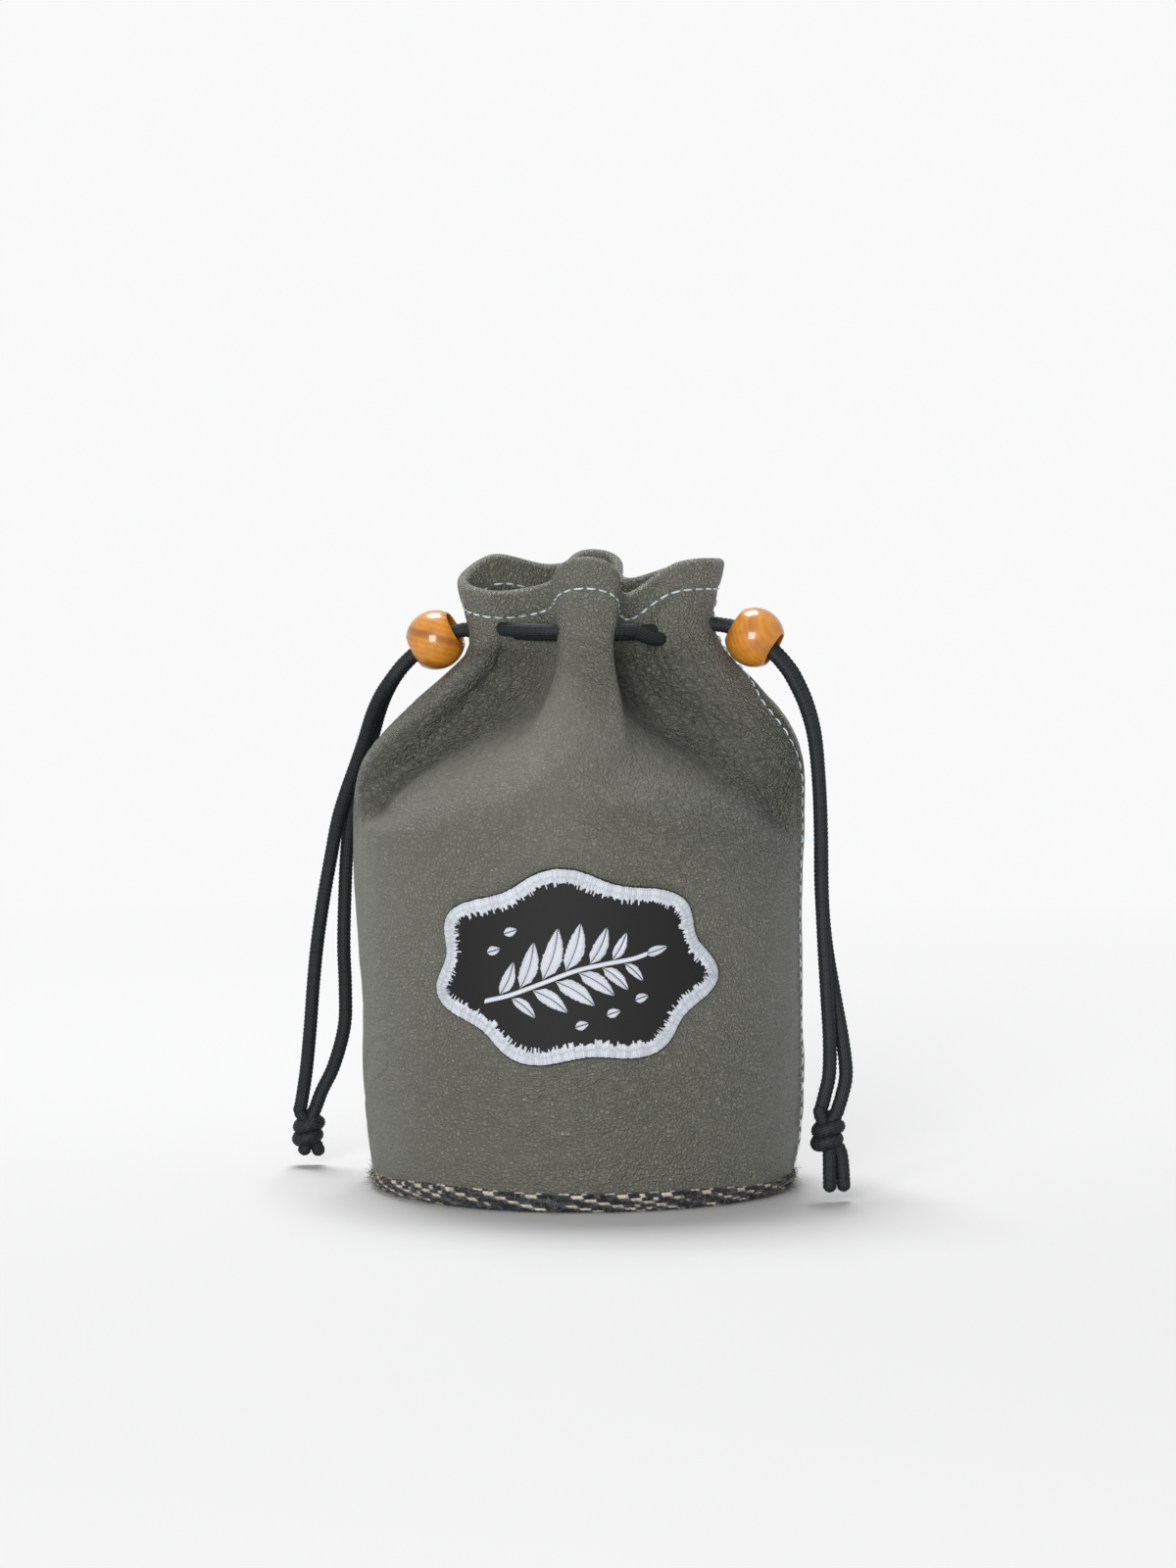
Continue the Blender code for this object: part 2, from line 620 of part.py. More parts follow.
def knot_core(name, spec):
    """Lump of a knot, raised where its leaning turns of cord go round it."""
    half = Vector(spec["half"]) * MM
    shape = bmesh.new()
    bmesh.ops.create_uvsphere(shape, u_segments=KNOT_COLUMNS, v_segments=KNOT_ROWS, radius=1.0)
    for corner in shape.verts:
        place = Vector((corner.co.x * half.x, corner.co.y * half.y, corner.co.z * half.z))
        crest = 0.0
        for height, lean in spec["turns"]:
            away = place.z - height * MM - place.x * tan(radians(lean))
            crest = max(crest, exp(-(away / (CORD * TURN_WIDTH)) ** 2))
        reach = KNOT_CORE + (1.0 - KNOT_CORE) * crest
        corner.co = (place.x * reach, place.y * reach, place.z)
    bmesh.ops.translate(shape, verts=shape.verts, vec=Vector(spec["middle"]) * MM)
    mesh = bpy.data.meshes.new(name)
    shape.to_mesh(mesh)
    shape.free()
    return mesh


def knot(name, spec, material):
    """Overhand knot as a core with two raised turns of cord round it, and its two short tails."""
    middle = Vector(spec["middle"]) * MM
    piece = add_object(name, knot_core(name, spec), material, smooth_angle=SMOOTH_ANGLE)
    for index, end in enumerate(spec["tails"]):
        foot = Vector(end) * MM
        start = middle + (foot - middle) * TAIL_START
        start.z = middle.z - spec["half"][2] * MM * TAIL_START
        route = smooth_route([start, start.lerp(foot, 0.5), foot], CORD)
        mesh = solid_from(tube(name, route, CORD / 2, material))
        tail = bpy.data.objects.new(name + "_tail_" + str(index), mesh)
        bpy.context.scene.collection.objects.link(tail)
        tail.display_type = "WIRE"
        tail.hide_render = True
        union = piece.modifiers.new("tail " + str(index), "BOOLEAN")
        union.operation = "UNION"
        union.solver = "EXACT"
        union.object = tail
    return piece


def build():
    clear_scene()
    leather = finish_material("leather", (0.18, 0.175, 0.15), 0.55)
    tweed = finish_material("tweed", (0.07, 0.07, 0.075), 0.95)
    thread = finish_material("patch_thread", (0.42, 0.43, 0.47), 0.6)
    cord = finish_material("cord", (0.012, 0.015, 0.017), 0.6)
    wood = finish_material("bead_wood", (0.52, 0.22, 0.05), 0.2)
    guide = finish_material("guide", (1.0, 0.0, 0.0), 0.5)
    cutters = slit_cutters(guide)
    cut_slits(leather_panel("front_panel", LEFT_SEAM - 8.0, RIGHT_SEAM, leather), cutters)
    cut_slits(leather_panel("back_panel", RIGHT_SEAM, LEFT_SEAM, leather), cutters)
    tweed_base(tweed)
    patch(thread)
    tube("drawcord_left", smooth_route(left_cord_route(), CORD_STEP), CORD / 2, cord)
    tube("drawcord_right", smooth_route(right_cord_route(), CORD_STEP), CORD / 2, cord)
    bead("bead_left", LEFT_RUN, wood)
    bead("bead_right", RIGHT_RUN, wood)
    knot("knot_left", LEFT_KNOT, cord)
    knot("knot_right", RIGHT_KNOT, cord)


build()
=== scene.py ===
"""Drawstring valuables pouch of pebbled leather on a tweed base, in a plain pale studio.

The sizes that give the pouch its shape repeat those of the CAD part, in metres and degrees: the pouch
stands on the floor at z = 0, its patch faces -Y, and +X is its right-hand side.
"""

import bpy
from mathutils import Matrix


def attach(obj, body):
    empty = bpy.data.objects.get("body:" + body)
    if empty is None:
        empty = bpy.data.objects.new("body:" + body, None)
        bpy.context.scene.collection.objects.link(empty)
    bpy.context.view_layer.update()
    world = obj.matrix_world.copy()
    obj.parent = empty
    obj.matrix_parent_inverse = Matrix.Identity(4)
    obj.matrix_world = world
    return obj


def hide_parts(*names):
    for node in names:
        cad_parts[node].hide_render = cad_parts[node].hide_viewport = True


bl_info = {
    "name": "Valuables Pouch",
    "version": (1, 0, 0),
    "blender": (4, 5, 0),
    "location": "3D View > Sidebar > Pouch",
    "description": "Builds a gathered leather drawstring pouch with its beads, cords, patch and studio",
    "category": "Object",
}

from math import atan2, ceil, cos, pi, radians, sin

import bpy
import numpy as np
from mathutils import Vector

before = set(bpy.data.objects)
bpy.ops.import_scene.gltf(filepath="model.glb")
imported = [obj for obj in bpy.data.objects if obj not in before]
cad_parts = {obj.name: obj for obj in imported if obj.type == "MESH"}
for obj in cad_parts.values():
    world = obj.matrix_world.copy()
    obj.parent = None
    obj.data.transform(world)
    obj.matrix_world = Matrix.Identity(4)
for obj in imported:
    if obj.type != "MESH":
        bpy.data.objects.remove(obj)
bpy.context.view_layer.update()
MM = 0.001

# Leather body, as the CAD part has it
BODY_RADIUS = 60.0 * MM
NECK_HEIGHT = 150.0 * MM
RIM_RISE = 16.0 * MM
TOP = NECK_HEIGHT + RIM_RISE
LEATHER = 1.5 * MM
HEM_WIDTH = 9.8 * MM
SEAM_GAP = 0.06 * MM
EDGE_HEIGHT = 5.2 * MM
EDGE_WAVE = 0.9 * MM
VALLEY_RADIUS = 18.4 * MM
NECK_REACH = {"right": 35.4 * MM, "left": 29.9 * MM, "front": 29.3 * MM, "back": 29.3 * MM}
RIM_REACH = {"right": 38.6 * MM, "left": 33.0 * MM, "front": 32.4 * MM, "back": 31.4 * MM}
OUTLINE = {
    "right": [(0.02, 0.86), (0.107, 0.98), (0.32, 1.0), (0.49, 0.975), (0.67, 1.01), (0.747, 0.995),
              (0.80, 0.93), (0.853, 0.745), (0.90, 0.47), (0.94, 0.215), (0.97, 0.08), (1.0, 0.0)],
    "left": [(0.02, 0.84), (0.107, 0.90), (0.32, 0.935), (0.49, 0.99), (0.67, 1.02), (0.74, 0.955),
             (0.793, 0.815), (0.86, 0.51), (0.92, 0.19), (0.955, 0.04), (0.98, 0.0), (1.0, 0.0)],
    "front": [(0.02, 0.87), (0.107, 0.92), (0.32, 0.935), (0.49, 0.935), (0.63, 0.92), (0.733, 0.82),
              (0.81, 0.62), (0.88, 0.36), (0.93, 0.15), (0.97, 0.03), (1.0, 0.0)],
    "back": [(0.02, 0.88), (0.107, 0.95), (0.32, 0.985), (0.49, 0.985), (0.63, 0.96), (0.733, 0.83),
             (0.81, 0.62), (0.88, 0.36), (0.93, 0.15), (0.97, 0.03), (1.0, 0.0)],
}
NECK_ANGLES = [-86.5, -45.0, -3.0, 44.0, 82.0, 118.0, 191.0, 235.5]
BODY_ANGLES = [-91.0, -38.0, -1.0, 42.0, 88.0, 142.0, 180.0, 208.0]
RIM_HEIGHTS = [4.2, -1.0, -6.2, 2.0, 2.4, 0.5, -3.6, 0.0, 3.4, 1.5, 0.0, 3.0, -3.4, -5.6, -4.0, 0.2]
FOLD_TOP = 0.955
FOLD_FOOT = 0.62
FOLD_SOFTNESS = 1.6
FLANK_STEEPNESS = 0.52
# Heights where the body's own directions give way to the neck's, and where the rim's waves begin
DRIFT_FOOT = 0.70 * NECK_HEIGHT
DRIFT_REACH = 0.27 * NECK_HEIGHT
RIM_FOOT = 0.86 * NECK_HEIGHT
EDGE_REACH = 0.1 * NECK_HEIGHT
PHASES_ROUND = 8.0
LEFT_SEAM = 5.60
RIGHT_SEAM = 1.80
# How far in phases the right-hand seam turns aside, from which height and over how much of it, in millimetres
RIGHT_SEAM_TURNS = [(0.05, 105, 20), (0.22, 128, 15)]
HEM_LINE = TOP - HEM_WIDTH + 2.0 * MM
# Metres round the body in one phase, near enough for a seam's own width
SEAM_SPREAD = 0.045
# How far in phases the side seams' stitches lie from the seam, and the hem's first stitch from a seam
SEAM_STITCH_ASIDE = 0.045
HEM_STITCH_ASIDE = 0.03
# Columns of the leather in one phase, its rows below and above a height, and how thinned they are inside
PANEL_COLUMNS = 60
PANEL_ROWS = (69, 190)
ROWS_CROWD_FROM = 80.0 * MM
INSIDE_THINNING = 3
# Steps in height and phase that the leather's slopes are measured over
SLOPE_HEIGHT = 0.2 * MM
SLOPE_PHASE = 0.004
# How wrinkled the leather is inside, and how many metres a phase counts as where wrinkles are drawn
# The inside's wrinkled share also darkens its colour a little: painted shade
INSIDE_WRINKLES = 0.3
FLOW_SPREAD = 0.026

# Folds in the leather. Each has a line of (height in millimetres, phase), a depth in millimetres, which
# is negative for a ridge, the widths of its two sides in phases, the heights where it ends and how softly,
# and how wrinkled the leather is in it
# A fold's wrinkled share, and the wrinkled places below, also darken the leather's colour there: painted
# shade
FOLDS = [
    {"line": [(100, -1.30), (109, -1.37), (120, -1.42), (130, -1.50), (139, -1.56), (150, -1.56)],
     "depth": 4.6, "widths": (0.13, 0.38), "ends": (97, 153), "soft": 8.0, "wrinkled": 1.0},
    {"line": [(100, -1.66), (109, -1.72), (120, -1.78), (139, -1.85), (150, -1.85)],
     "depth": -1.1, "widths": (0.22, 0.16), "ends": (100, 150), "soft": 12.0, "wrinkled": 0.0},
    {"line": [(98, 1.44), (108, 1.38), (120, 1.22), (137, 1.08), (150, 1.00)],
     "depth": 4.2, "widths": (0.40, 0.15), "ends": (92, 154), "soft": 11.0, "wrinkled": 1.0},
    {"line": [(100, 1.72), (120, 1.58), (137, 1.50), (158, 1.42)],
     "depth": -1.5, "widths": (0.16, 0.26), "ends": (102, 162), "soft": 12.0, "wrinkled": 0.0},
    {"line": [(142, 1.37), (158, 1.36)],
     "depth": -1.5, "widths": (0.07, 0.30), "ends": (141, 158), "soft": 4.0, "wrinkled": 0.0},
    {"line": [(142, -1.64), (158, -1.62)],
     "depth": -1.1, "widths": (0.26, 0.06), "ends": (141, 158), "soft": 4.0, "wrinkled": 0.0},
    {"line": [(114, 0.36), (125, 0.40), (140, 0.46), (150, 0.48)],
     "depth": 2.4, "widths": (0.14, 0.32), "ends": (110, 153), "soft": 14.0, "wrinkled": 0.4},
    {"line": [(114, 0.05), (150, 0.02)],
     "depth": -0.9, "widths": (0.26, 0.20), "ends": (108, 152), "soft": 16.0, "wrinkled": 0.0},
    {"line": [(124, -0.46), (150, -0.55)],
     "depth": 1.4, "widths": (0.30, 0.12), "ends": (118, 153), "soft": 10.0, "wrinkled": 0.4},
    {"line": [(108, 0.20), (120, 0.24)],
     "depth": 1.0, "widths": (0.16, 0.22), "ends": (106, 124), "soft": 8.0, "wrinkled": 0.3},
    {"line": [(138, -1.80), (150, -1.74)],
     "depth": 0.8, "widths": (0.03, 0.05), "ends": (138, 149), "soft": 4.0, "wrinkled": 0.6},
    {"line": [(138, -1.94), (150, -1.86)],
     "depth": 0.6, "widths": (0.03, 0.04), "ends": (139, 147), "soft": 3.0, "wrinkled": 0.0},
]
# More wrinkled places: phase, width in phases, height, reach in millimetres and strength
WRINKLED_PLACES = [(1.45, 0.38, 110, 14, 1.0), (-1.72, 0.30, 105, 10, 1.0), (0.2, 1.2, 34, 22, 0.45),
                   (0.7, 0.8, 100, 26, 0.40)]
# Depths of the leather's relief
PLEATS = 0.15 * MM
WRINKLES_ALONG = 0.42 * MM
WRINKLES_ACROSS = 0.34 * MM
SQUEEZED_CREASES = 0.16 * MM
LOW_WRINKLES = 0.42 * MM
DENTS = 0.62 * MM
HEM_PULL = 0.35 * MM
SEAM_EDGES = 0.35 * MM
SEAM_PULL = 0.55 * MM

# Cords and beads, as the CAD part has them but for the bore, which is 0.2 mm narrower; rows and points are
# in millimetres. A row of a fall is a place between two strands, the heading from one strand to the other
# and half the distance between them
CORD = 3.8 * MM
CORD_PITCH = CORD + 0.3 * MM
CORD_STEP = 0.36 * MM
# Columns of the braid round a cord, and mesh points across one
BRAID_COLUMNS = 16
BRAID_POINTS = 3
# Points along a knot's turns, where they start and end, their rise and reach in its half sizes, and the
# radius of the cord in it
KNOT_POINTS = 60
KNOT_TURNS = (-0.10, 2.25)
KNOT_RISE = (0.62, -0.66)
KNOT_REACH = 0.60
KNOT_CORD = 0.53 * CORD
BEAD = 16.0 * MM
BEAD_BORE = 9.3 * MM
BEAD_CHAMFER = 0.4 * MM
LEFT_RUN = {"bead": (-38.5, 0.0, 146.6), "radius": 32.0, "heading": 170.0, "fall": 28.0, "span": (12.5, 28.0)}
RIGHT_RUN = {"bead": (46.6, -3.6, 147.5), "radius": 30.0, "heading": -14.0, "fall": 30.0,
             "span": (13.0, 29.0)}
LEFT_FALL = [
    (-52.6, 5.2, 131.6, 72, 2.05), (-54.9, 9.6, 126.0, 66, 2.05), (-57.0, 14.4, 119.0, 62, 2.05),
    (-59.3, 18.6, 112.0, 58, 2.05), (-61.7, 21.8, 104.9, 52, 2.05), (-63.9, 24.5, 96.7, 40, 2.1),
    (-65.4, 26.4, 87.0, 28, 2.3), (-66.9, 28.3, 74.0, 16, 3.0), (-68.0, 30.0, 61.0, 8, 3.7),
    (-68.4, 31.6, 50.0, 8, 4.4), (-69.0, 33.4, 39.0, 10, 4.7), (-71.0, 35.4, 28.0, 12, 3.8),
    (-73.2, 36.6, 20.8, 12, 2.6), (-74.3, 36.9, 16.8, 8, 2.15),
]
RIGHT_FALL = [
    (60.2, -8.4, 130.0, 80, 2.05), (62.4, -11.6, 121.5, 84, 2.05), (63.5, -15.2, 109.0, 88, 2.05),
    (63.9, -18.6, 96.0, 90, 2.05), (64.0, -22.0, 82.0, 90, 2.05), (64.8, -25.2, 68.0, 82, 2.05),
    (66.2, -28.0, 55.0, 62, 2.05), (67.6, -30.2, 43.0, 36, 2.1), (68.0, -31.8, 34.0, 14, 2.3),
    (66.9, -32.8, 28.4, 4, 2.3), (66.0, -33.0, 25.2, 0, 2.2),
]
LEFT_ENTRY_FRONT = [(-28.6, -4.5, 149.5), (-26.0, -6.7, 150.1), (-24.1, -9.4, 150.4)]
LEFT_ENTRY_BACK = [(-27.6, 1.9, 149.5), (-24.8, 4.7, 150.1), (-23.8, 8.5, 150.4)]
RIGHT_ENTRY_FRONT = [(36.0, -4.2, 150.9), (32.2, -4.9, 151.0), (28.4, -6.6, 150.7), (24.6, -9.0, 150.3),
                     (20.4, -11.6, 149.9), (16.1, -14.0, 149.4)]
RIGHT_ENTRY_BACK = [(36.4, 1.0, 150.9), (32.0, 2.6, 151.4), (28.0, 5.0, 151.5), (24.4, 8.2, 151.2),
                    (20.3, 11.2, 150.4), (16.1, 13.9, 149.6)]
LEFT_LOOP = {"start": -152.0, "end": 155.0, "radius": 25.1, "height": 150.4, "dip": 2.7, "count": 33}
RIGHT_LOOP = {"start": -50.0, "end": -310.0, "radius": 20.95, "height": 149.2, "dip": 0.0, "count": 29}
# Degrees either side of +X where the left loop lies low, and over which it comes up again
DIP_REACH = 39.0
DIP_FADE = 20.0
LEFT_KNOT = {"middle": (-74.4, 37.0, 10.1), "half": (4.6, 4.6, 6.2),
             "tails": [(-75.8, 36.6, 2.9), (-71.3, 38.6, 2.6)]}
RIGHT_KNOT = {"middle": (65.4, -33.0, 18.2), "half": (4.7, 4.7, 6.2),
              "tails": [(66.0, -33.6, 2.6), (69.8, -32.2, 2.6)]}

# Patch, as the CAD part has it
PATCH_WIDTH = 82.0 * MM
PATCH_HEIGHT = 52.4 * MM
PATCH_SIDE = -1.6 * MM
PATCH_LEVEL = 64.5 * MM
PATCH_LOBES = 7
PATCH_LOBE_DEPTH = 0.06
PATCH_GAP = 0.4 * MM
PATCH_CLOTH = 0.75 * MM
BORDER_LIFT = 0.35 * MM
SATIN_LIFT = 0.72 * MM
SATIN_STEP = 0.17 * MM
# Rows of the mesh in one satin stitch, and its points across
SATIN_ROWS = 3
SATIN_POINTS = 6
STEM = [(-24.0, -8.8), (-17.0, -7.0), (-8.5, -3.8), (0.5, -0.4), (8.5, 1.4), (15.5, 2.6), (19.5, 3.8)]
# Where along the stem each pair of leaves sits, and the length of its upper leaf in millimetres
LEAVES = [(0.10, 9.5), (0.24, 12.6), (0.38, 14.0), (0.52, 13.0), (0.66, 10.6), (0.80, 8.0)]
SEEDS = [(-21.5, 4.5), (-16.8, 9.6), (10.5, -11.4), (18.0, -7.6), (2.2, -14.6)]

# Tweed: yarns round the base, rows of them, mesh points across a yarn, and rows of (share, inset, height)
# in millimetres from under the rolled edge up to the leather
YARNS = 236
YARN_ROWS = 8
YARN_POINTS = 5
TWEED_PROFILE = [(0.0, 6.5, 0.25), (0.14, 3.2, 0.35), (0.3, 1.0, 1.1), (0.48, -0.1, 2.3), (0.7, -0.45, 3.6),
                 (0.86, -0.1, 4.9), (1.0, 0.9, 5.7)]
TWEED_FLOOR = 3.2 * MM

# Studio, in metres. Each lamp has a share of the key light's power, a size, a place and an aim
FLOOR_RADIUS = 4.0
FLOOR_FADE = (0.16, 0.80)
LAMPS = {"key": (1.0, 0.7, (-0.12, 0.55, 1.5), (0.0, 0.0, 0.1)),
         "fill": (2.15, 1.0, (-0.45, -2.25, 0.52), (0.0, 0.0, 0.09))}
CAMERA_PLACE = (0.0022, -1.8, 0.253)
CAMERA_AIM = (0.0022, 0.0, 0.108)
CAMERA_LENS = 155.0
CAMERA_SENSOR = 36.0


# Shape helpers

def ease(value):
    """Smooth step from 0 to 1."""
    value = np.clip(value, 0.0, 1.0)
    return value * value * (3.0 - 2.0 * value)


def bump(value, width):
    """Smooth hump, 1 where value is 0."""
    return np.exp(-(value / width) ** 2)


def between(low, slope_low, high, slope_high, share):
    """Cubic from low to high with a slope at each end."""
    square = share * share
    cube = square * share
    return ((2 * cube - 3 * square + 1) * low + (cube - 2 * square + share) * slope_low
            + (3 * square - 2 * cube) * high + (cube - square) * slope_high)


def cubic(before, low, high, after, share):
    """Cubic through low and high that leaves and arrives in line with their neighbours."""
    return between(low, (high - before) / 2.0, high, (after - low) / 2.0, share)


def along_ring(values, phase, turn=0.0):
    """Smooth value round a closed ring of equally spaced values, which grow by turn each time round."""
    values = np.asarray(values)
    count = len(values)
    start = np.floor(phase).astype(int)

    def value(index):
        return values[index % count] + turn * (index // count)

    return cubic(value(start - 1), value(start), value(start + 1), value(start + 2), phase - start)


def along_outline(points, place):
    """Smooth value along an outline of (place, value) points, level past its ends."""
    places, values = np.array(points).T
    place = np.clip(place, places[0], places[-1])
    last = len(points) - 1
    index = np.clip(np.searchsorted(places, place) - 1, 0, last - 1)
    span = places[index + 1] - places[index]
    share = (place - places[index]) / span

    def slope(here):
        low = np.maximum(here - 1, 0)
        high = np.minimum(here + 1, last)
        return (values[high] - values[low]) / (places[high] - places[low]) * span

    return between(values[index], slope(index), values[index + 1], slope(index + 1), share)


def smooth_noise(seed, *place):
    """Seeded noise from -1 to 1 that varies smoothly over two or three coordinates."""
    table = np.random.default_rng(seed).uniform(-1.0, 1.0, (32,) * len(place))
    low = [np.floor(value).astype(int) for value in place]
    share = [ease(value - floor) for value, floor in zip(place, low)]
    total = 0.0
    for corner in range(2 ** len(place)):
        weight = 1.0
        spot = []
        for axis in range(len(place)):
            high = corner >> axis & 1
            weight = weight * (share[axis] if high else 1.0 - share[axis])
            spot.append((low[axis] + high) % 32)
        total = total + weight * table[tuple(spot)]
    return total


def unit(vectors):
    return vectors / np.maximum(np.linalg.norm(vectors, axis=-1, keepdims=True), 1e-12)


def about_axis(radius, angle, height):
    """Points from their distance from the upright axis, their direction and their height."""
    return np.stack([radius * np.cos(angle), radius * np.sin(angle), height], axis=-1)


def full_turn(count):
    """Angles of equally spaced points round a circle."""
    return np.linspace(0.0, 2 * pi, count + 1)[:-1]


def lengths_along(points):
    """Distance of each point from the first along a run of points."""
    return np.concatenate([[0.0], np.cumsum(np.linalg.norm(np.diff(points, axis=0), axis=1))])


# The leather's form

def fold_radius(angle, height):
    """Outside radius on the crest of a fold; below the folds it is the body's own radius."""
    across = np.cos(angle)
    along = np.sin(angle)
    above = ease(np.maximum(height - NECK_HEIGHT, 0.0) / RIM_RISE)
    weights = {"right": np.maximum(across, 0.0), "left": np.maximum(-across, 0.0),
               "back": np.maximum(along, 0.0), "front": np.maximum(-along, 0.0)}
    radius = 0.0
    for side, weight in weights.items():
        neck = NECK_REACH[side]
        reach = neck + (BODY_RADIUS - neck) * along_outline(OUTLINE[side], height / NECK_HEIGHT)
        radius = radius + weight ** 2 * (reach + (RIM_REACH[side] - neck) * above)
    return radius


def fold_depth(height):
    """0 on the plain body, 1 where the folds are gathered at the neck."""
    return ease((height / NECK_HEIGHT - FOLD_FOOT) / (FOLD_TOP - FOLD_FOOT)) ** FOLD_SOFTNESS


def leather_angle(phase, height):
    """Direction of a line down the leather. A phase of 0, 2, 4 or 6 is a fold, an odd one a valley."""
    drift = ease((height - DRIFT_FOOT) / DRIFT_REACH)
    bent = phase + FLANK_STEEPNESS * fold_depth(height) / (2 * pi) * np.sin(2 * pi * phase)
    body = along_ring(BODY_ANGLES, bent, 360.0)
    neck = along_ring(NECK_ANGLES, bent, 360.0)
    return np.radians(body + (neck - body) * drift)


def edge_height(angle):
    """Height of the leather's lower edge, which waves a little."""
    return EDGE_HEIGHT + EDGE_WAVE * (0.6 * np.sin(angle * 2 - 0.9) + 0.4 * np.sin(angle * 5 + 0.6))


def leather_point(phase, height):
    """Points on the outside of the leather. Height runs from its lower edge to its rim."""
    angle = leather_angle(phase, height)
    crest = fold_radius(angle, height)
    floor = VALLEY_RADIUS + 0.1 * np.maximum(height - NECK_HEIGHT, 0.0)
    valley = crest + (floor - crest) * fold_depth(height)
    radius = valley + (crest - valley) * (0.5 + 0.5 * np.cos(pi * phase))
    rim = along_ring(RIM_HEIGHTS, phase * 2) * MM
    rise = rim * ease((height - RIM_FOOT) / (TOP - RIM_FOOT))
    drop = (edge_height(angle) - EDGE_HEIGHT) * (1.0 - ease((height - EDGE_HEIGHT) / EDGE_REACH))
    return about_axis(radius, angle, height + rise + drop)


def right_seam(height):
    """Phase of the right-hand seam, which turns out of sight round the right fold's crest."""
    turns = [turn * ease((height / MM - foot) / reach) for turn, foot, reach in RIGHT_SEAM_TURNS]
    return RIGHT_SEAM + sum(turns)


def left_seam(height):
    return LEFT_SEAM + 0.0 * height


def left_seam_before(height):
    return LEFT_SEAM - PHASES_ROUND + 0.0 * height


def away_from(phase, place):
    """Signed distance in phases, the short way round."""
    half = PHASES_ROUND / 2
    return np.mod(phase - place + half, PHASES_ROUND) - half


def fold_line(phase, height, fold):
    """Share of a fold's depth at places on the leather, from its line and its two sides' widths."""
    heights, phases = np.array(fold["line"]).T
    away = away_from(phase, np.interp(height / MM, heights, phases))
    width = np.where(away < 0.0, fold["widths"][0], fold["widths"][1])
    foot, top = fold["ends"]
    below = ease((top - height / MM) / fold["soft"])
    depth = bump(away, width) * ease((height / MM - foot) / fold["soft"]) * below
    reach = 2.3 * np.max(fold["widths"])
    wrinkled = bump(away, reach) * ease((height / MM - foot + 12.0) / 34.0) * below
    return depth, wrinkled


def creased(phase, height):
    """How finely wrinkled the leather is: 1 in the folds, little on the plain body."""
    # The same mask darkens the leather's colour in its folds and wrinkles: painted shade
    zone = 0.0
    for fold in FOLDS:
        if fold["wrinkled"]:
            zone = np.maximum(zone, fold_line(phase, height, fold)[1] * fold["wrinkled"])
    first, *others = [strength * bump(away_from(phase, place), width) * bump(height / MM - level, reach)
                      for place, width, level, reach, strength in WRINKLED_PLACES]
    return np.clip(np.maximum(zone, first) + sum(others), 0.0, 1.0)


def leather_relief(phase, height):
    """Height of the folds, gathers, creases and dents over the plain leather, in metres."""
    gather = fold_depth(height)
    relief = 0.0
    for fold in FOLDS:
        relief = relief - fold["depth"] * MM * fold_line(phase, height, fold)[0]
    # Gathers over the cord, in the valleys
    valley = (0.5 - 0.5 * np.cos(pi * phase)) ** 1.5
    wander = 0.4 * smooth_noise(11, phase * 3.0, height * 60.0)
    pleat = np.sin(2 * pi * (13.4 * phase + wander)) + 0.6 * smooth_noise(19, phase * 24.0, height * 90.0)
    near_rim = ease((height - 0.148) / 0.006) * (1.0 - 0.7 * ease((height - 0.159) / 0.006))
    relief = relief + PLEATS * pleat * valley * near_rim
    # Wrinkles that run along the folds, and fine ones across them under the stitching
    zone = creased(phase, height)
    along = 1.0 - np.abs(smooth_noise(14, phase * 17.0 + height * 30.0, height * 85.0))
    cross = 1.0 - np.abs(smooth_noise(15, phase * 5.0, height * 420.0 + phase * 3.0))
    relief = relief - zone ** 1.5 * (WRINKLES_ALONG * along ** 6 + WRINKLES_ACROSS * cross ** 7)
    squeezed = bump(height - 0.141, 0.010) * ease(gather * 1.4)
    crease = smooth_noise(12, phase * 7.0, height * 620.0)
    crease = crease + 0.6 * smooth_noise(13, phase * 13.0, height * 1150.0)
    relief = relief - SQUEEZED_CREASES * np.maximum(crease, 0.0) * squeezed
    # Low wrinkles under the patch and soft dents over the whole body
    low = bump(height - 0.030, 0.020)
    slanting = smooth_noise(16, phase * 2.6 + 3.0, height * 190.0 - phase * 2.2)
    relief = relief - LOW_WRINKLES * (1.0 - np.abs(slanting)) ** 8 * low
    dents = smooth_noise(17, phase * 1.2 + 5.0, height * 26.0)
    dents = dents + 0.6 * smooth_noise(18, phase * 2.7, height * 60.0)
    dents = dents + 0.16 * smooth_noise(20, phase * 6.5, height * 150.0)
    relief = relief + DENTS * dents * (1.0 - gather) * ease((height - EDGE_HEIGHT) / 0.02)
    # The stitched hem and the two seams pull in along their lines, between raised edges
    relief = relief - HEM_PULL * bump(height - HEM_LINE, 1.0 * MM)
    for seam in (right_seam(height), LEFT_SEAM):
        aside = away_from(phase, seam) * SEAM_SPREAD
        raised = SEAM_EDGES * bump(np.abs(aside) - 2.2 * MM, 1.2 * MM) - SEAM_PULL * bump(aside, 0.8 * MM)
        relief = relief + raised * (1.0 - 0.8 * ease((height - 0.135) / 0.01))
    return relief


def leather_surface(phase, height):
    """Points on the outside of the leather with its relief, with normals and upward directions."""
    points = leather_point(phase, height)
    upward = unit(leather_point(phase, height + SLOPE_HEIGHT) - leather_point(phase, height - SLOPE_HEIGHT))
    across = unit(leather_point(phase + SLOPE_PHASE, height) - leather_point(phase - SLOPE_PHASE, height))
    normals = unit(np.cross(across, upward))
    return points + normals * leather_relief(phase, height)[..., None], normals, upward


# Mesh helpers

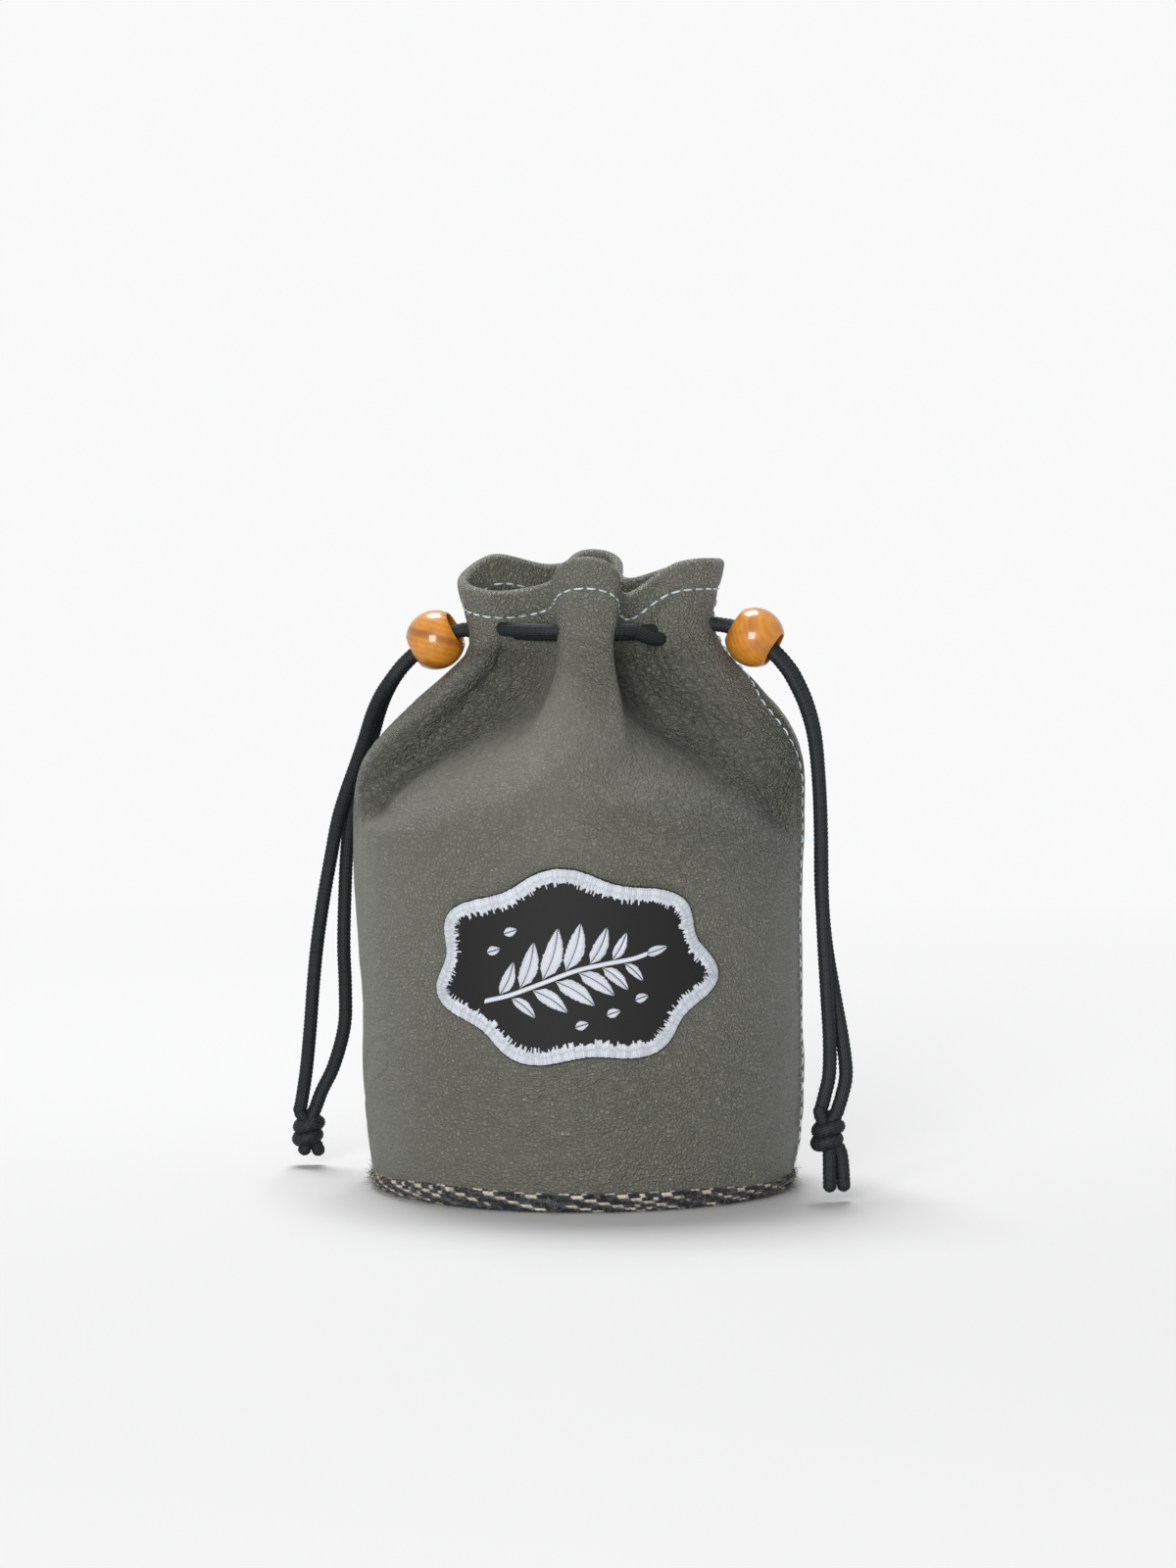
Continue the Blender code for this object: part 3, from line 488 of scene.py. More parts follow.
def grid_faces(columns, rows, close_columns=False, close_rows=False):
    """Faces of a grid whose points run along each column in turn."""
    last_column = columns - (not close_columns)
    last_row = rows - (not close_rows)
    a, b = np.meshgrid(np.arange(last_column), np.arange(last_row), indexing="ij")
    c = (a + 1) % columns
    d = (b + 1) % rows
    return np.stack([a * rows + b, c * rows + b, c * rows + d, a * rows + d], axis=-1).reshape(-1, 4).tolist()


def flipped(faces):
    return [face[::-1] for face in faces]


class Shape:
    """Points, faces and one value a point, gathered piece by piece into one mesh."""

    def __init__(self):
        self.points = []
        self.faces = []
        self.values = []
        self.count = 0

    def add(self, points, faces, values=0.0):
        points = np.asarray(points, float).reshape(-1, 3)
        self.faces += [tuple(self.count + corner for corner in face) for face in faces]
        self.points.append(points)
        self.values.append(np.broadcast_to(np.asarray(values, float).reshape(-1), (len(points),)))
        self.count += len(points)

    def make(self, name, material, nodes=(), body="pouch", sharp=45.0, origin=(0, 0, 0)):
        """Object of the gathered mesh, on its CAD body and in place of its CAD nodes."""
        mesh = bpy.data.meshes.new(name)
        points = np.concatenate(self.points) - np.array(origin)
        mesh.from_pydata(points.tolist(), [], self.faces)
        shade = mesh.attributes.new("shade", "FLOAT", "POINT")
        shade.data.foreach_set("value", np.concatenate(self.values).astype(np.float32))
        mesh.validate()
        mesh.shade_smooth()
        mesh.set_sharp_from_angle(angle=radians(sharp))
        mesh.materials.append(material)
        piece = bpy.data.objects.new(name, mesh)
        piece.location = origin
        bpy.context.scene.collection.objects.link(piece)
        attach(piece, body)
        if nodes:
            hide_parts(*nodes)
        return piece


def path_frames(points):
    """Directions across and away from a run of points, without twist."""
    ahead = unit(np.gradient(points, axis=0))
    first = np.cross(ahead[0], (0.0, 0.0, 1.0))
    if np.linalg.norm(first) < 0.1:
        first = np.cross(ahead[0], (1.0, 0.0, 0.0))
    across = [first / np.linalg.norm(first)]
    for along in ahead[1:]:
        turned = across[-1] - along * (across[-1] @ along)
        across.append(turned / np.linalg.norm(turned))
    across = np.array(across)
    return across, np.cross(ahead, across)


def smooth_route(points, step):
    """Evenly spaced points on the smooth curve through a route's own points."""
    points = np.array(points, float)
    padded = np.concatenate([[points[0] * 2 - points[1]], points, [points[-1] * 2 - points[-2]]])
    share = np.linspace(0.0, 1.0, 13)[:-1, None]
    runs = [cubic(*padded[index - 1:index + 3], share) for index in range(1, len(padded) - 2)]
    dense = np.concatenate(runs + [points[-1:]])
    lengths = lengths_along(dense)
    places = np.linspace(0.0, lengths[-1], max(3, round(lengths[-1] / step) + 1))
    return np.stack([np.interp(places, lengths, dense[:, axis]) for axis in range(3)], axis=-1)


# Cord routes

def run_points(run, side):
    """One strand's points on the round stretch that its bead slides along, from the leather outward."""
    turn = radians(run["heading"])
    ahead = Vector((cos(turn), sin(turn), 0.0))
    axis = Vector((-sin(turn), cos(turn), 0.0))
    up = Vector((0, 0, 1))
    radius = run["radius"] * MM
    start = radians(run["fall"])
    centre = Vector(run["bead"]) * MM - (ahead * sin(start) + up * cos(start)) * radius
    back, forth = run["span"]
    count = ceil(radius * radians(back + forth) / (1.2 * CORD))
    points = []
    for step in range(count + 1):
        fall = radians(run["fall"] - back + (back + forth) * step / count)
        points.append(centre + (ahead * sin(fall) + up * cos(fall)) * radius + axis * side * CORD_PITCH / 2)
    return points


def fall_points(rows, side):
    """One strand's points below its bead."""
    return [Vector((x + side * half * cos(radians(heading)), y + side * half * sin(radians(heading)), z)) * MM
            for x, y, z, heading, half in rows]


def loop_points(loop):
    """The loop round the mouth, which dips under the other cord's ends on the right-hand side."""
    points = []
    for angle in np.linspace(loop["start"], loop["end"], loop["count"]):
        low = 1.0 - float(ease((abs(angle) - DIP_REACH) / DIP_FADE))
        place = about_axis(loop["radius"], radians(angle), loop["height"] - loop["dip"] * low)
        points.append(Vector(place) * MM)
    return points


def scaled(points):
    return [Vector(point) * MM for point in points]


def left_routes():
    front = fall_points(LEFT_FALL, -1)[::-1] + run_points(LEFT_RUN, 1)[::-1]
    back = run_points(LEFT_RUN, -1) + fall_points(LEFT_FALL, 1)
    return front, scaled(LEFT_ENTRY_FRONT), loop_points(LEFT_LOOP), scaled(LEFT_ENTRY_BACK)[::-1], back


def right_routes():
    front = fall_points(RIGHT_FALL, -1)[::-1] + run_points(RIGHT_RUN, -1)[::-1]
    back = run_points(RIGHT_RUN, 1) + fall_points(RIGHT_FALL, 1)
    return front, scaled(RIGHT_ENTRY_FRONT), loop_points(RIGHT_LOOP), scaled(RIGHT_ENTRY_BACK)[::-1], back


def cord_parts(routes):
    """Front strand, loop round the mouth and back strand of a cord, split where it enters the leather."""
    front, entry, loop, leaving, back = routes
    whole = smooth_route(front + entry + loop + leaving + back, CORD_STEP)
    first = int(np.argmin(np.linalg.norm(whole - np.array(entry[0]), axis=1)))
    last = int(np.argmin(np.linalg.norm(whole - np.array(leaving[-1]), axis=1)))
    return whole[:first + 1][::-1], whole[first:last + 1], whole[last:]


# Materials

class Value:
    """A socket of a material's nodes, or a number, that Python's own operators work on."""

    def __init__(self, build, socket):
        self.build = build
        self.socket = socket

    def maths(self, operation, *others):
        names = {index: other for index, other in enumerate((self,) + others)}
        return self.build.node("ShaderNodeMath", 0, names, operation=operation)

    def __add__(self, other):
        return self.maths("ADD", other)

    def __mul__(self, other):
        return self.maths("MULTIPLY", other)

    def __sub__(self, other):
        return self.maths("SUBTRACT", other)

    def __rsub__(self, other):
        return self * -1.0 + other

    def __pow__(self, other):
        return self.maths("POWER", other)

    __radd__ = __add__
    __rmul__ = __mul__

    def sine(self):
        return self.maths("SINE")

    def spread(self, low, high):
        """0 at low, 1 at high, and held between them."""
        inputs = {"Value": self, "From Min": low, "From Max": high}
        return self.build.node("ShaderNodeMapRange", 0, inputs)


class Finish:
    """A material with a Principled shader, whose fields are set and fed by name."""

    def __init__(self, name, **constants):
        self.material = bpy.data.materials.new(name)
        self.material.use_nodes = True
        self.tree = self.material.node_tree
        self.shader = self.tree.nodes["Principled BSDF"]
        for field, value in constants.items():
            self.shader.inputs[field.replace("_", " ")].default_value = value

    def node(self, kind, output, inputs, **settings):
        """Any other node, with its fields set, its inputs fed or set, and one output to use."""
        made = self.tree.nodes.new(kind)
        for field, value in settings.items():
            setattr(made, field, value)
        for field, value in inputs.items():
            if isinstance(value, Value):
                self.tree.links.new(value.socket, made.inputs[field])
            else:
                made.inputs[field].default_value = value
        return Value(self, made.outputs[output])

    def place(self):
        """Position on the piece itself, which moves with it."""
        return self.node("ShaderNodeTexCoord", "Object", {})

    def stretched(self, vector, scale):
        return self.node("ShaderNodeVectorMath", 0, {0: vector, 1: scale}, operation="MULTIPLY")

    def added(self, vector, other):
        return self.node("ShaderNodeVectorMath", 0, {0: vector, 1: other}, operation="ADD")

    def flow(self, name):
        return self.node("ShaderNodeAttribute", "Vector", {}, attribute_name=name)

    def cells(self, vector, scale):
        """Distance to the edge of the nearest cell, in cells."""
        inputs = {"Vector": vector, "Scale": scale}
        return self.node("ShaderNodeTexVoronoi", "Distance", inputs, feature="DISTANCE_TO_EDGE")

    def noise(self, vector, scale, detail=2.0, roughness=0.5):
        inputs = {"Vector": vector, "Scale": scale, "Detail": detail, "Roughness": roughness}
        return self.node("ShaderNodeTexNoise", "Fac", inputs)

    def attribute(self, name):
        return self.node("ShaderNodeAttribute", "Fac", {}, attribute_name=name)

    def mix(self, factor, low, high):
        return self.node("ShaderNodeMix", 2, {0: factor, 6: low, 7: high}, data_type="RGBA")

    def feed(self, **fields):
        for field, value in fields.items():
            self.tree.links.new(value.socket, self.shader.inputs[field.replace("_", " ")])

    def seen(self):
        """1 for what the camera sees straight or in a mirror or glass, 0 for light that falls on things."""
        seen = self.node("ShaderNodeLightPath", "Is Camera Ray", {})
        for ray in ("Is Glossy Ray", "Is Transmission Ray"):
            seen = seen.maths("MAXIMUM", self.node("ShaderNodeLightPath", ray, {}))
        return seen

    def fade_to(self, shade, near, far):
        """Blend, for what the camera and mirrors see, into an even shade further out."""
        away = self.node("ShaderNodeVectorMath", "Value", {0: self.place()}, operation="LENGTH")
        glow = self.node("ShaderNodeEmission", "Emission", {"Color": colour(shade)})
        surface = Value(self, self.shader.outputs["BSDF"])
        inputs = {0: away.spread(near, far) * self.seen(), 1: surface, 2: glow}
        blend = self.node("ShaderNodeMixShader", "Shader", inputs)
        self.tree.links.new(blend.socket, self.tree.nodes["Material Output"].inputs["Surface"])

    def relief(self, height, distance, strength=1.0):
        inputs = {"Height": height, "Distance": distance, "Strength": strength}
        self.feed(Normal=self.node("ShaderNodeBump", 0, inputs))


class Daylight(Finish):
    """The world: even light on the object, and the pale backdrop for what the camera and mirrors see."""

    def __init__(self, strength, shade):
        self.world = bpy.data.worlds.new("studio_daylight")
        self.world.use_nodes = True
        self.tree = self.world.node_tree
        light = self.node("ShaderNodeBackground", "Background", {"Strength": strength, "Color": (1, 1, 1, 1)})
        pale = self.node("ShaderNodeBackground", "Background", {"Strength": 1.0, "Color": colour(shade)})
        blend = self.node("ShaderNodeMixShader", "Shader", {0: self.seen(), 1: light, 2: pale})
        self.tree.links.new(blend.socket, self.tree.nodes["World Output"].inputs["Surface"])


def colour(parts, strength=1.0):
    """A colour for a socket, stronger or weaker than it is given."""
    return tuple(part * strength for part in parts) + (1.0,)


def leather_finish(settings):
    """Semi-matte leather with a fine pebbled grain and wrinkles that run along its folds."""
    finish = Finish("pouch_leather", Specular_IOR_Level=0.5, Coat_Weight=0.05, Coat_Roughness=0.35)
    place = finish.place()
    warp = finish.node("ShaderNodeTexNoise", "Color", {"Vector": place, "Scale": 260.0, "Detail": 2.0})
    bent = finish.added(finish.stretched(warp, (0.0018,) * 3), place)
    pebbles = finish.cells(bent, settings.grain)
    small = finish.cells(bent, settings.grain * 2.3)
    flow = finish.added(finish.flow("flow"), finish.stretched(warp, (0.0030,) * 3))
    wrinkles = finish.cells(finish.stretched(flow, (1.0, 0.34, 1.0)), 520.0)
    fine_wrinkles = finish.cells(finish.stretched(flow, (0.5, 1.0, 1.0)), 900.0)
    zone = finish.attribute("shade")
    broad = finish.noise(place, 38.0, 3.0)
    groove = pebbles.spread(0.0, 0.22)
    fine = small.spread(0.0, 0.2)
    line = wrinkles.spread(0.0, 0.10)
    thin = fine_wrinkles.spread(0.0, 0.12)
    strong = broad.spread(0.35, 0.65)
    pebbled = groove * (strong * 0.4 + 0.6) + fine * 0.3 + finish.noise(place, 3200.0, 2.0) * 0.15
    wrinkled = pebbled + (line * 1.2 + thin * 0.9) * zone + thin * 0.3
    finish.relief(wrinkled + finish.noise(place, 330.0, 3.0) * 1.5, 0.00105, settings.grain_depth)
    base = settings.colour
    even = finish.mix(broad.spread(0.3, 0.7), colour(base, 0.94), colour(base, 1.04))
    # Painted shade: the colour darkens towards the deepest folds, and further along the wrinkle lines in them
    tone = finish.mix(zone ** 3.0 * 0.42, even, colour(base, 0.25))
    creases = finish.mix((1.0 - line * thin) * zone * 0.55, tone, colour(base, 0.35))
    # The furrows between the grain's pebbles are darkened too: painted shade
    finish.feed(Base_Color=finish.mix(groove * 0.6 + 0.4, colour(base, 0.66), creases),
                Roughness=groove * -0.10 + (finish.noise(place, 90.0) * 0.12 + 0.46))
    return finish.material


def thread_finish(name, shade, roughness=0.45):
    """Twisted thread, each stitch with a tone of its own, and painted shade between raised satin rows."""
    finish = Finish(name, Roughness=roughness, Specular_IOR_Level=0.3)
    tone_and_shade = finish.attribute("shade")
    finish.feed(Base_Color=finish.mix(tone_and_shade, colour(shade, 0.40), colour(shade, 1.12)))
    finish.relief(finish.noise(finish.place(), 5200.0, 2.0), 0.00008, 0.6)
    return finish.material


def cord_finish(settings):
    """Black cord, with painted shade in the hollows of its braid and painted light on its crests."""
    finish = Finish("pouch_cord", Roughness=0.62, Specular_IOR_Level=0.25)
    crest = finish.attribute("shade")
    base = settings.colour
    finish.feed(Base_Color=finish.mix(crest.spread(0.35, 1.0), colour(base, 0.1), colour(base, 2.6)))
    finish.relief(finish.noise(finish.place(), 6500.0, 2.0), 0.00008, 0.5)
    return finish.material


def tweed_finish(settings):
    """Wool: the yarn's own tone, broken up by fine fibres."""
    finish = Finish("pouch_tweed", Roughness=0.95, Specular_IOR_Level=0.15, Sheen_Weight=0.08,
                    Sheen_Roughness=0.6)
    place = finish.place()
    tone = finish.attribute("shade")
    fibre = finish.noise(place, 2600.0, 3.0, 0.7)
    mixed = tone + (fibre - 0.5) * 0.5
    dark = finish.mix(mixed.spread(0.0, 0.5), colour(settings.dark), colour(settings.middle))
    finish.feed(Base_Color=finish.mix(mixed.spread(0.5, 1.0), dark, colour(settings.light)))
    finish.relief(fibre + finish.noise(place, 900.0, 2.0), 0.0004, 0.8)
    return finish.material


def wood_finish(settings, name, turned, banded):
    """Varnished amber wood. Its grain lies across the direction turned; banded is how even its lines are."""
    finish = Finish(name, Roughness=0.36, Coat_Weight=0.55, Coat_Roughness=0.07, Specular_IOR_Level=0.3)
    place = finish.place()
    wave = finish.noise(place, 95.0, 3.0)
    level = finish.node("ShaderNodeVectorMath", "Value", {0: place, 1: turned}, operation="DOT_PRODUCT")
    bent = level * settings.grain_lines + wave * (2.2 if banded else 9.0)
    lines = (bent.sine() * 0.5 + 0.5) ** (5.0 if banded else 2.0)
    fine = (level * (settings.grain_lines * 5.3) + wave * 6.0).sine() * 0.5 + 0.5
    mottled = finish.noise(place, 210.0, 4.0, 0.65)
    base = settings.colour
    body = finish.mix(mottled.spread(0.35, 0.7), colour(base, 0.85), colour(base, 1.25))
    streaked = finish.mix(fine * 0.22, body, colour(settings.grain_colour))
    weight = lines * (0.75 if banded else 0.35) + mottled.spread(0.58, 0.75) * (0.1 if banded else 0.4)
    finish.feed(Base_Color=finish.mix(weight, streaked, colour(settings.grain_colour)))
    finish.relief(mottled, 0.0002, 0.25)
    return finish.material


# Leather, stitching and tweed

def leather_panel(name, start, end, material, node):
    """One leather panel between two seams: outside, folded rim and inside, closed at both seams."""
    columns = round(float(end(TOP) - start(TOP)) * PANEL_COLUMNS)
    thin = INSIDE_THINNING
    low = np.linspace(EDGE_HEIGHT, ROWS_CROWD_FROM, PANEL_ROWS[0] + 1)[:-1]
    heights = np.concatenate([low, np.linspace(ROWS_CROWD_FROM, TOP - LEATHER, PANEL_ROWS[1])])
    share = np.linspace(0.0, 1.0, columns + 1)[:, None]
    first = start(heights)[None]
    phase = first + (end(heights)[None] - first) * share
    height = np.broadcast_to(heights, phase.shape)
    outside, normals, upward = leather_surface(phase, height)
    inner = slice(None, None, thin)
    thickness = np.where(heights[inner] > TOP - HEM_WIDTH, 2 * LEATHER, LEATHER)[None, :, None]
    inside = (outside[:, inner] - normals[:, inner] * thickness)[:, ::-1]
    turns = np.radians(np.linspace(0.0, 180.0, 9)[1:-1])[None, :, None]
    edge = outside[:, -1:]
    middle = edge - normals[:, -1:] * LEATHER
    rim = middle + normals[:, -1:] * LEATHER * np.cos(turns) + upward[:, -1:] * LEATHER * np.sin(turns)
    section = np.concatenate([outside, rim, inside], axis=1)
    for side, next_to in ((0, 1), (-1, -2)):
        section[side] += unit(section[next_to] - section[side]) * SEAM_GAP / 2
    rows = section.shape[1]
    shape = Shape()
    faces = grid_faces(columns + 1, rows, close_rows=True)
    first_inside = len(heights) + rim.shape[1]
    for column, turned in ((0, False), (columns, True)):
        base = column * rows
        for step in range(inside.shape[1] - 1):
            upper = first_inside + inside.shape[1] - 1 - step
            for part in range(thin):
                out = step * thin + part
                faces.append((base + out, base + out + 1, base + upper)[::-1 if turned else 1])
            faces.append((base + step * thin + thin, base + upper - 1, base + upper)[::-1 if turned else 1])
        top = list(range(base + len(heights) - 1, base + first_inside + 1))
        faces.append(tuple(top[::-1] if turned else top))

    def everywhere(values):
        """Values over the outside, carried on round the rim and down the inside."""
        over_rim = values[:, -1:].repeat(rim.shape[1], axis=1)
        return np.concatenate([values, over_rim, values[:, inner][:, ::-1]], axis=1)

    # The crease mask feeds the shader's wrinkles and its painted shade: none on the rim, a little inside
    zone = everywhere(creased(phase, height))
    zone[:, len(heights):first_inside] = 0.0
    zone[:, first_inside:] = INSIDE_WRINKLES
    shape.add(section, faces, zone)
    piece = shape.make(name, material, (node,), sharp=50.0)
    flow = piece.data.attributes.new("flow", "FLOAT_VECTOR", "POINT")
    upright = everywhere(height)
    place = np.stack([everywhere(phase) * FLOW_SPREAD, upright, 0.0 * upright], axis=-1)
    flow.data.foreach_set("vector", place.reshape(-1).astype(np.float32))


def stitch(shape, start, end, normal, thickness, value):
    """One stitch of thread, lying on a surface and sinking into it at both ends."""
    share = np.linspace(0.0, 1.0, 9)
    lift = (np.sin(pi * share) ** 0.45 * 0.95 - 0.5) * thickness
    line = start + (end - start) * share[:, None] + normal * lift[:, None]
    ahead = unit(end - start)
    across = unit(np.cross(ahead, normal))
    turns = full_turn(8)
    width = thickness * 0.5 * (0.55 + 0.45 * np.sin(pi * share) ** 0.5)
    ring = across * np.cos(turns)[:, None] + normal * np.sin(turns)[:, None] * 0.8
    twist = 1.0 + 0.10 * np.sin(turns[None, :] * 2 + share[:, None] * 22.0)
    points = line[:, None] + ring[None] * (width[:, None] * twist)[..., None]
    faces = grid_faces(len(share), len(turns), close_rows=True)
    faces += [tuple(range(len(turns)))[::-1], tuple((len(share) - 1) * len(turns) + np.arange(len(turns)))]
    shape.add(points, faces, value)


def stitched_line(shape, phases, heights, settings, inward=False, seed=3):
    """Running stitches along a line on the leather."""
    points, normals, _ = leather_surface(phases, heights)
    if inward:
        points = points - normals * 2 * LEATHER
        normals = -normals
    lengths = lengths_along(points)
    count = round(lengths[-1] / settings.stitch_pitch)
    pitch = lengths[-1] / count
    random = np.random.default_rng(seed)

    def at(values, place):
        return np.array([np.interp(place, lengths, values[:, axis]) for axis in range(3)])

    for index in range(count):
        gap = settings.stitch_gap * random.uniform(0.8, 1.2)
        start = index * pitch + gap / 2
        end = (index + 1) * pitch - gap / 2
        normal = unit(at(normals, (start + end) / 2))
        middle = at(points, (start + end) / 2)
        first = at(points, start)
        last = at(points, end)
        bulge = normal * max(0.0, float((middle - (first + last) / 2) @ normal))
        tone = random.uniform(0.3, 1.0)
        stitch(shape, first + bulge, last + bulge, normal, settings.stitch_width, tone)


def weave_tone(column, row, random):
    """Tone of each yarn in the tweed: broken dark bands with cream and grey yarns between them."""
    broken = np.mod(column + row * 2, 8)
    tone = np.where(broken < 5, 0.02, 0.34)
    cream = smooth_noise(22, column * 0.11, row * 0.4) + 0.12 * row
    tone = np.where((broken >= 6) & (cream > 0.1), 1.0, tone)
    tone = np.where((broken == 2) & (cream > 0.75), 0.85, tone)
    return np.clip(tone + random.normal(0.0, 0.12, tone.shape), 0.0, 1.0)


def tweed_surface(angles, share):
    """Outside of the tweed from under its rolled edge, at share 0, up to the leather, at share 1."""
    places, insets, levels = np.array(TWEED_PROFILE).T
    inset = np.interp(share, places, insets) * MM
    level = np.interp(share, places, levels) * MM
    edge = edge_height(angles)
    radius = fold_radius(angles, EDGE_HEIGHT) - inset
    height = level * (1.0 + (edge / EDGE_HEIGHT - 1.0) * ease(share * 1.6))
    return about_axis(radius, angles, height)


def tweed(settings, material):
    """Round tweed base with its yarns in relief, tones woven in, and stray fibres."""
    random = np.random.default_rng(8)
    around = YARNS * YARN_POINTS
    along = YARN_ROWS * YARN_POINTS + 1
    angle, share = np.meshgrid(full_turn(around), np.linspace(0.0, 1.0, along), indexing="ij")
    slanted = angle / (2 * pi) * YARNS + share * 3.0
    column = np.floor(slanted).astype(int)
    row = np.floor(share * YARN_ROWS).astype(int)
    across = slanted - column - 0.5
    upward = share * YARN_ROWS - row - 0.5
    over = np.mod(column + row, 2)
    round_yarn = np.where(over == 1, np.cos(pi * upward), np.cos(pi * across))
    dip = np.where(over == 1, np.cos(pi * across), np.cos(pi * upward))
    relief = (0.55 * round_yarn ** 0.6 + 0.45 * dip ** 0.6 - 0.55) * settings.yarn_relief
    relief = relief + 0.25 * MM * smooth_noise(21, angle * 9.0, share * 3.0)
    points = tweed_surface(angle, share)
    outward = about_axis(1.0, angle, np.zeros_like(angle))
    tilt = ease(share * 2.0)[..., None]
    normal = unit(outward * tilt - np.array([0.0, 0.0, 1.0]) * (1.0 - tilt))
    points = points + normal * relief[..., None]
    points[..., 2] = np.maximum(points[..., 2], 0.02 * MM)
    tones = weave_tone(*np.meshgrid(np.arange(YARNS + 4), np.arange(YARN_ROWS + 1), indexing="ij"), random)
    tone = tones[column % YARNS, np.minimum(row, YARN_ROWS)]
    shape = Shape()
    faces = grid_faces(around, along, close_columns=True)
    top = np.array(tweed_surface(angle[:, -1], share[:, -1]))
    floor = top * np.array([0.97, 0.97, 0.0]) + np.array([0.0, 0.0, TWEED_FLOOR])
    last = around * along
    centre = last + around
    beside = [(place, (place + 1) % around) for place in range(around)]
    faces += [(here * along + along - 1, then * along + along - 1, last + then, last + here)
              for here, then in beside]
    faces += [(last + here, last + then, centre) for here, then in beside]
    faces += [(then * along, here * along, centre + 1) for here, then in beside]
    points = np.concatenate([points.reshape(-1, 3), floor, [[0.0, 0.0, TWEED_FLOOR]], [[0.0, 0.0, 0.3 * MM]]])
    shape.add(points, faces, np.concatenate([tone.reshape(-1), np.full(around + 2, 0.3)]))
    shape.make("tweed_base_weave", material, ("tweed_base",), sharp=80.0)
    fuzz = Shape()
    for _ in range(settings.fibres):
        turn = random.uniform(0.0, 2 * pi)
        start = tweed_surface(np.array(turn), np.array(random.uniform(0.25, 0.98)))
        out = np.array([cos(turn), sin(turn), 0.0])
        aim = unit(out * random.uniform(0.3, 1.0) + random.normal(0.0, 0.7, 3))
        curl = random.normal(0.0, 0.5, 3)
        length = random.uniform(0.6, 2.3) * MM
        width = unit(np.cross(aim, random.normal(0.0, 1.0, 3))) * 0.035 * MM
        share = np.linspace(0.0, 1.0, 5)[:, None]
        line = start + aim * length * share + curl * length * share ** 2 * 0.6
        line[:, 2] = np.maximum(line[:, 2], 0.1 * MM)
        tone = random.choice([0.3, 0.5, 0.75])
        fuzz.add(np.stack([line - width, line + width], axis=1), grid_faces(len(line), 2), tone)
    fuzz.make("tweed_fuzz", material)


# Patch

def patch_edge(turn):
    """Distance from the patch's middle to its outline, in metres across and up."""
    lobe = 1.0 - PATCH_LOBE_DEPTH + PATCH_LOBE_DEPTH * np.cos(PATCH_LOBES * turn + 0.8)
    return lobe * np.cos(turn) * PATCH_WIDTH / 2, lobe * np.sin(turn) * PATCH_HEIGHT / 2


def on_patch(side, level, lift):
    """Point over the leather from a place on the patch, measured from its middle."""
    angle = -pi / 2 + (PATCH_SIDE + side) / BODY_RADIUS
    height = PATCH_LEVEL + level
    radius = fold_radius(angle, height) + lift
    return about_axis(radius, angle, height + 0.0 * side)


def left_of(way):
    """Directions at right angles to directions on the patch."""
    return np.stack([-way[..., 1], way[..., 0]], axis=-1)


def thread_ridges(count, stitch, shift=0.0):
    """How raised each row of a satin area is, with so many rows to a stitch."""
    return np.abs(np.sin(np.arange(count) * pi / stitch + shift))[:, None]


def flat_route(points, step):
    """Evenly spaced places on the patch along a smooth curve."""
    return smooth_route([(*point, 0.0) for point in points], step)[:, :2]


def patch_ground(material):
    """Black backing cloth of the patch."""
    turns = full_turn(360)
    shares = np.linspace(0.0, 0.985, 30)[1:]
    turn, share = np.meshgrid(turns, shares, indexing="ij")
    wide, high = patch_edge(turn)
    top = on_patch(share * wide, share * high, PATCH_GAP + PATCH_CLOTH)
    base = on_patch(wide[:, -1:], high[:, -1:], PATCH_GAP)
    points = np.concatenate([top, base], axis=1)
    shape = Shape()
    rows = len(shares) + 1
    faces = flipped(grid_faces(len(turns), rows, close_columns=True))
    centre = len(turns) * rows
    for column in range(len(turns)):
        here = column * rows
        then = (column + 1) % len(turns) * rows
        faces += [(here, then, centre), (then + rows - 1, here + rows - 1, centre + 1)]
    ends = [on_patch(np.array(0.0), np.array(0.0), PATCH_GAP + lift) for lift in (PATCH_CLOTH, 0.0)]
    shape.add(np.concatenate([points.reshape(-1, 3), ends]), faces)
    shape.make("patch_ground", material, ("patch",))


def satin_border(settings, material):
    """Raised satin-stitched border round the patch's outline, with ragged stitch ends inside."""
    random = np.random.default_rng(31)
    stitches = settings.border_stitches
    fine = 4
    turns = full_turn(stitches * fine)
    across = np.linspace(0.0, 1.0, 13)
    turn, share = np.meshgrid(turns, across, indexing="ij")
    wide, high = patch_edge(turn)
    step_wide, step_high = patch_edge(turn + 0.001)
    way = unit(np.stack([step_wide - wide, step_high - high], axis=-1))
    inward = left_of(way)
    number = np.repeat(np.arange(stitches), fine)
    ragged = random.choice([-0.5, -0.2, 0.1, 0.9], stitches)[number][:, None] * MM
    ragged = ragged + random.uniform(-0.2, 0.2, stitches)[number][:, None] * MM
    outer = random.uniform(-0.08, 0.10, stitches)[number][:, None] * MM
    width = settings.border_width + ragged
    inset = -outer * (1.0 - share) + width * share
    profile = np.sin(pi * np.clip(share, 0.02, 0.98)) ** 0.35
    ridge = thread_ridges(len(turns), fine, pi / 8)
    lift = PATCH_GAP + BORDER_LIFT + (0.55 * profile + 0.20 * ridge * profile) * MM
    side = wide + inward[..., 0] * inset
    level = high + inward[..., 1] * inset
    shape = Shape()
    inner_row = 1.0 - 0.55 * bump(share - 0.52, 0.06)
    # Each stitch's own tone, darker along the border's middle, with painted shade between its raised rows
    tone_and_shade = random.uniform(0.55, 1.0, stitches)[number][:, None] * inner_row * (0.25 + 0.75 * ridge)
    faces = flipped(grid_faces(len(turns), len(across), close_columns=True))
    shape.add(on_patch(side, level, lift), faces, tone_and_shade)
    shape.make("patch_border", material, sharp=75.0)


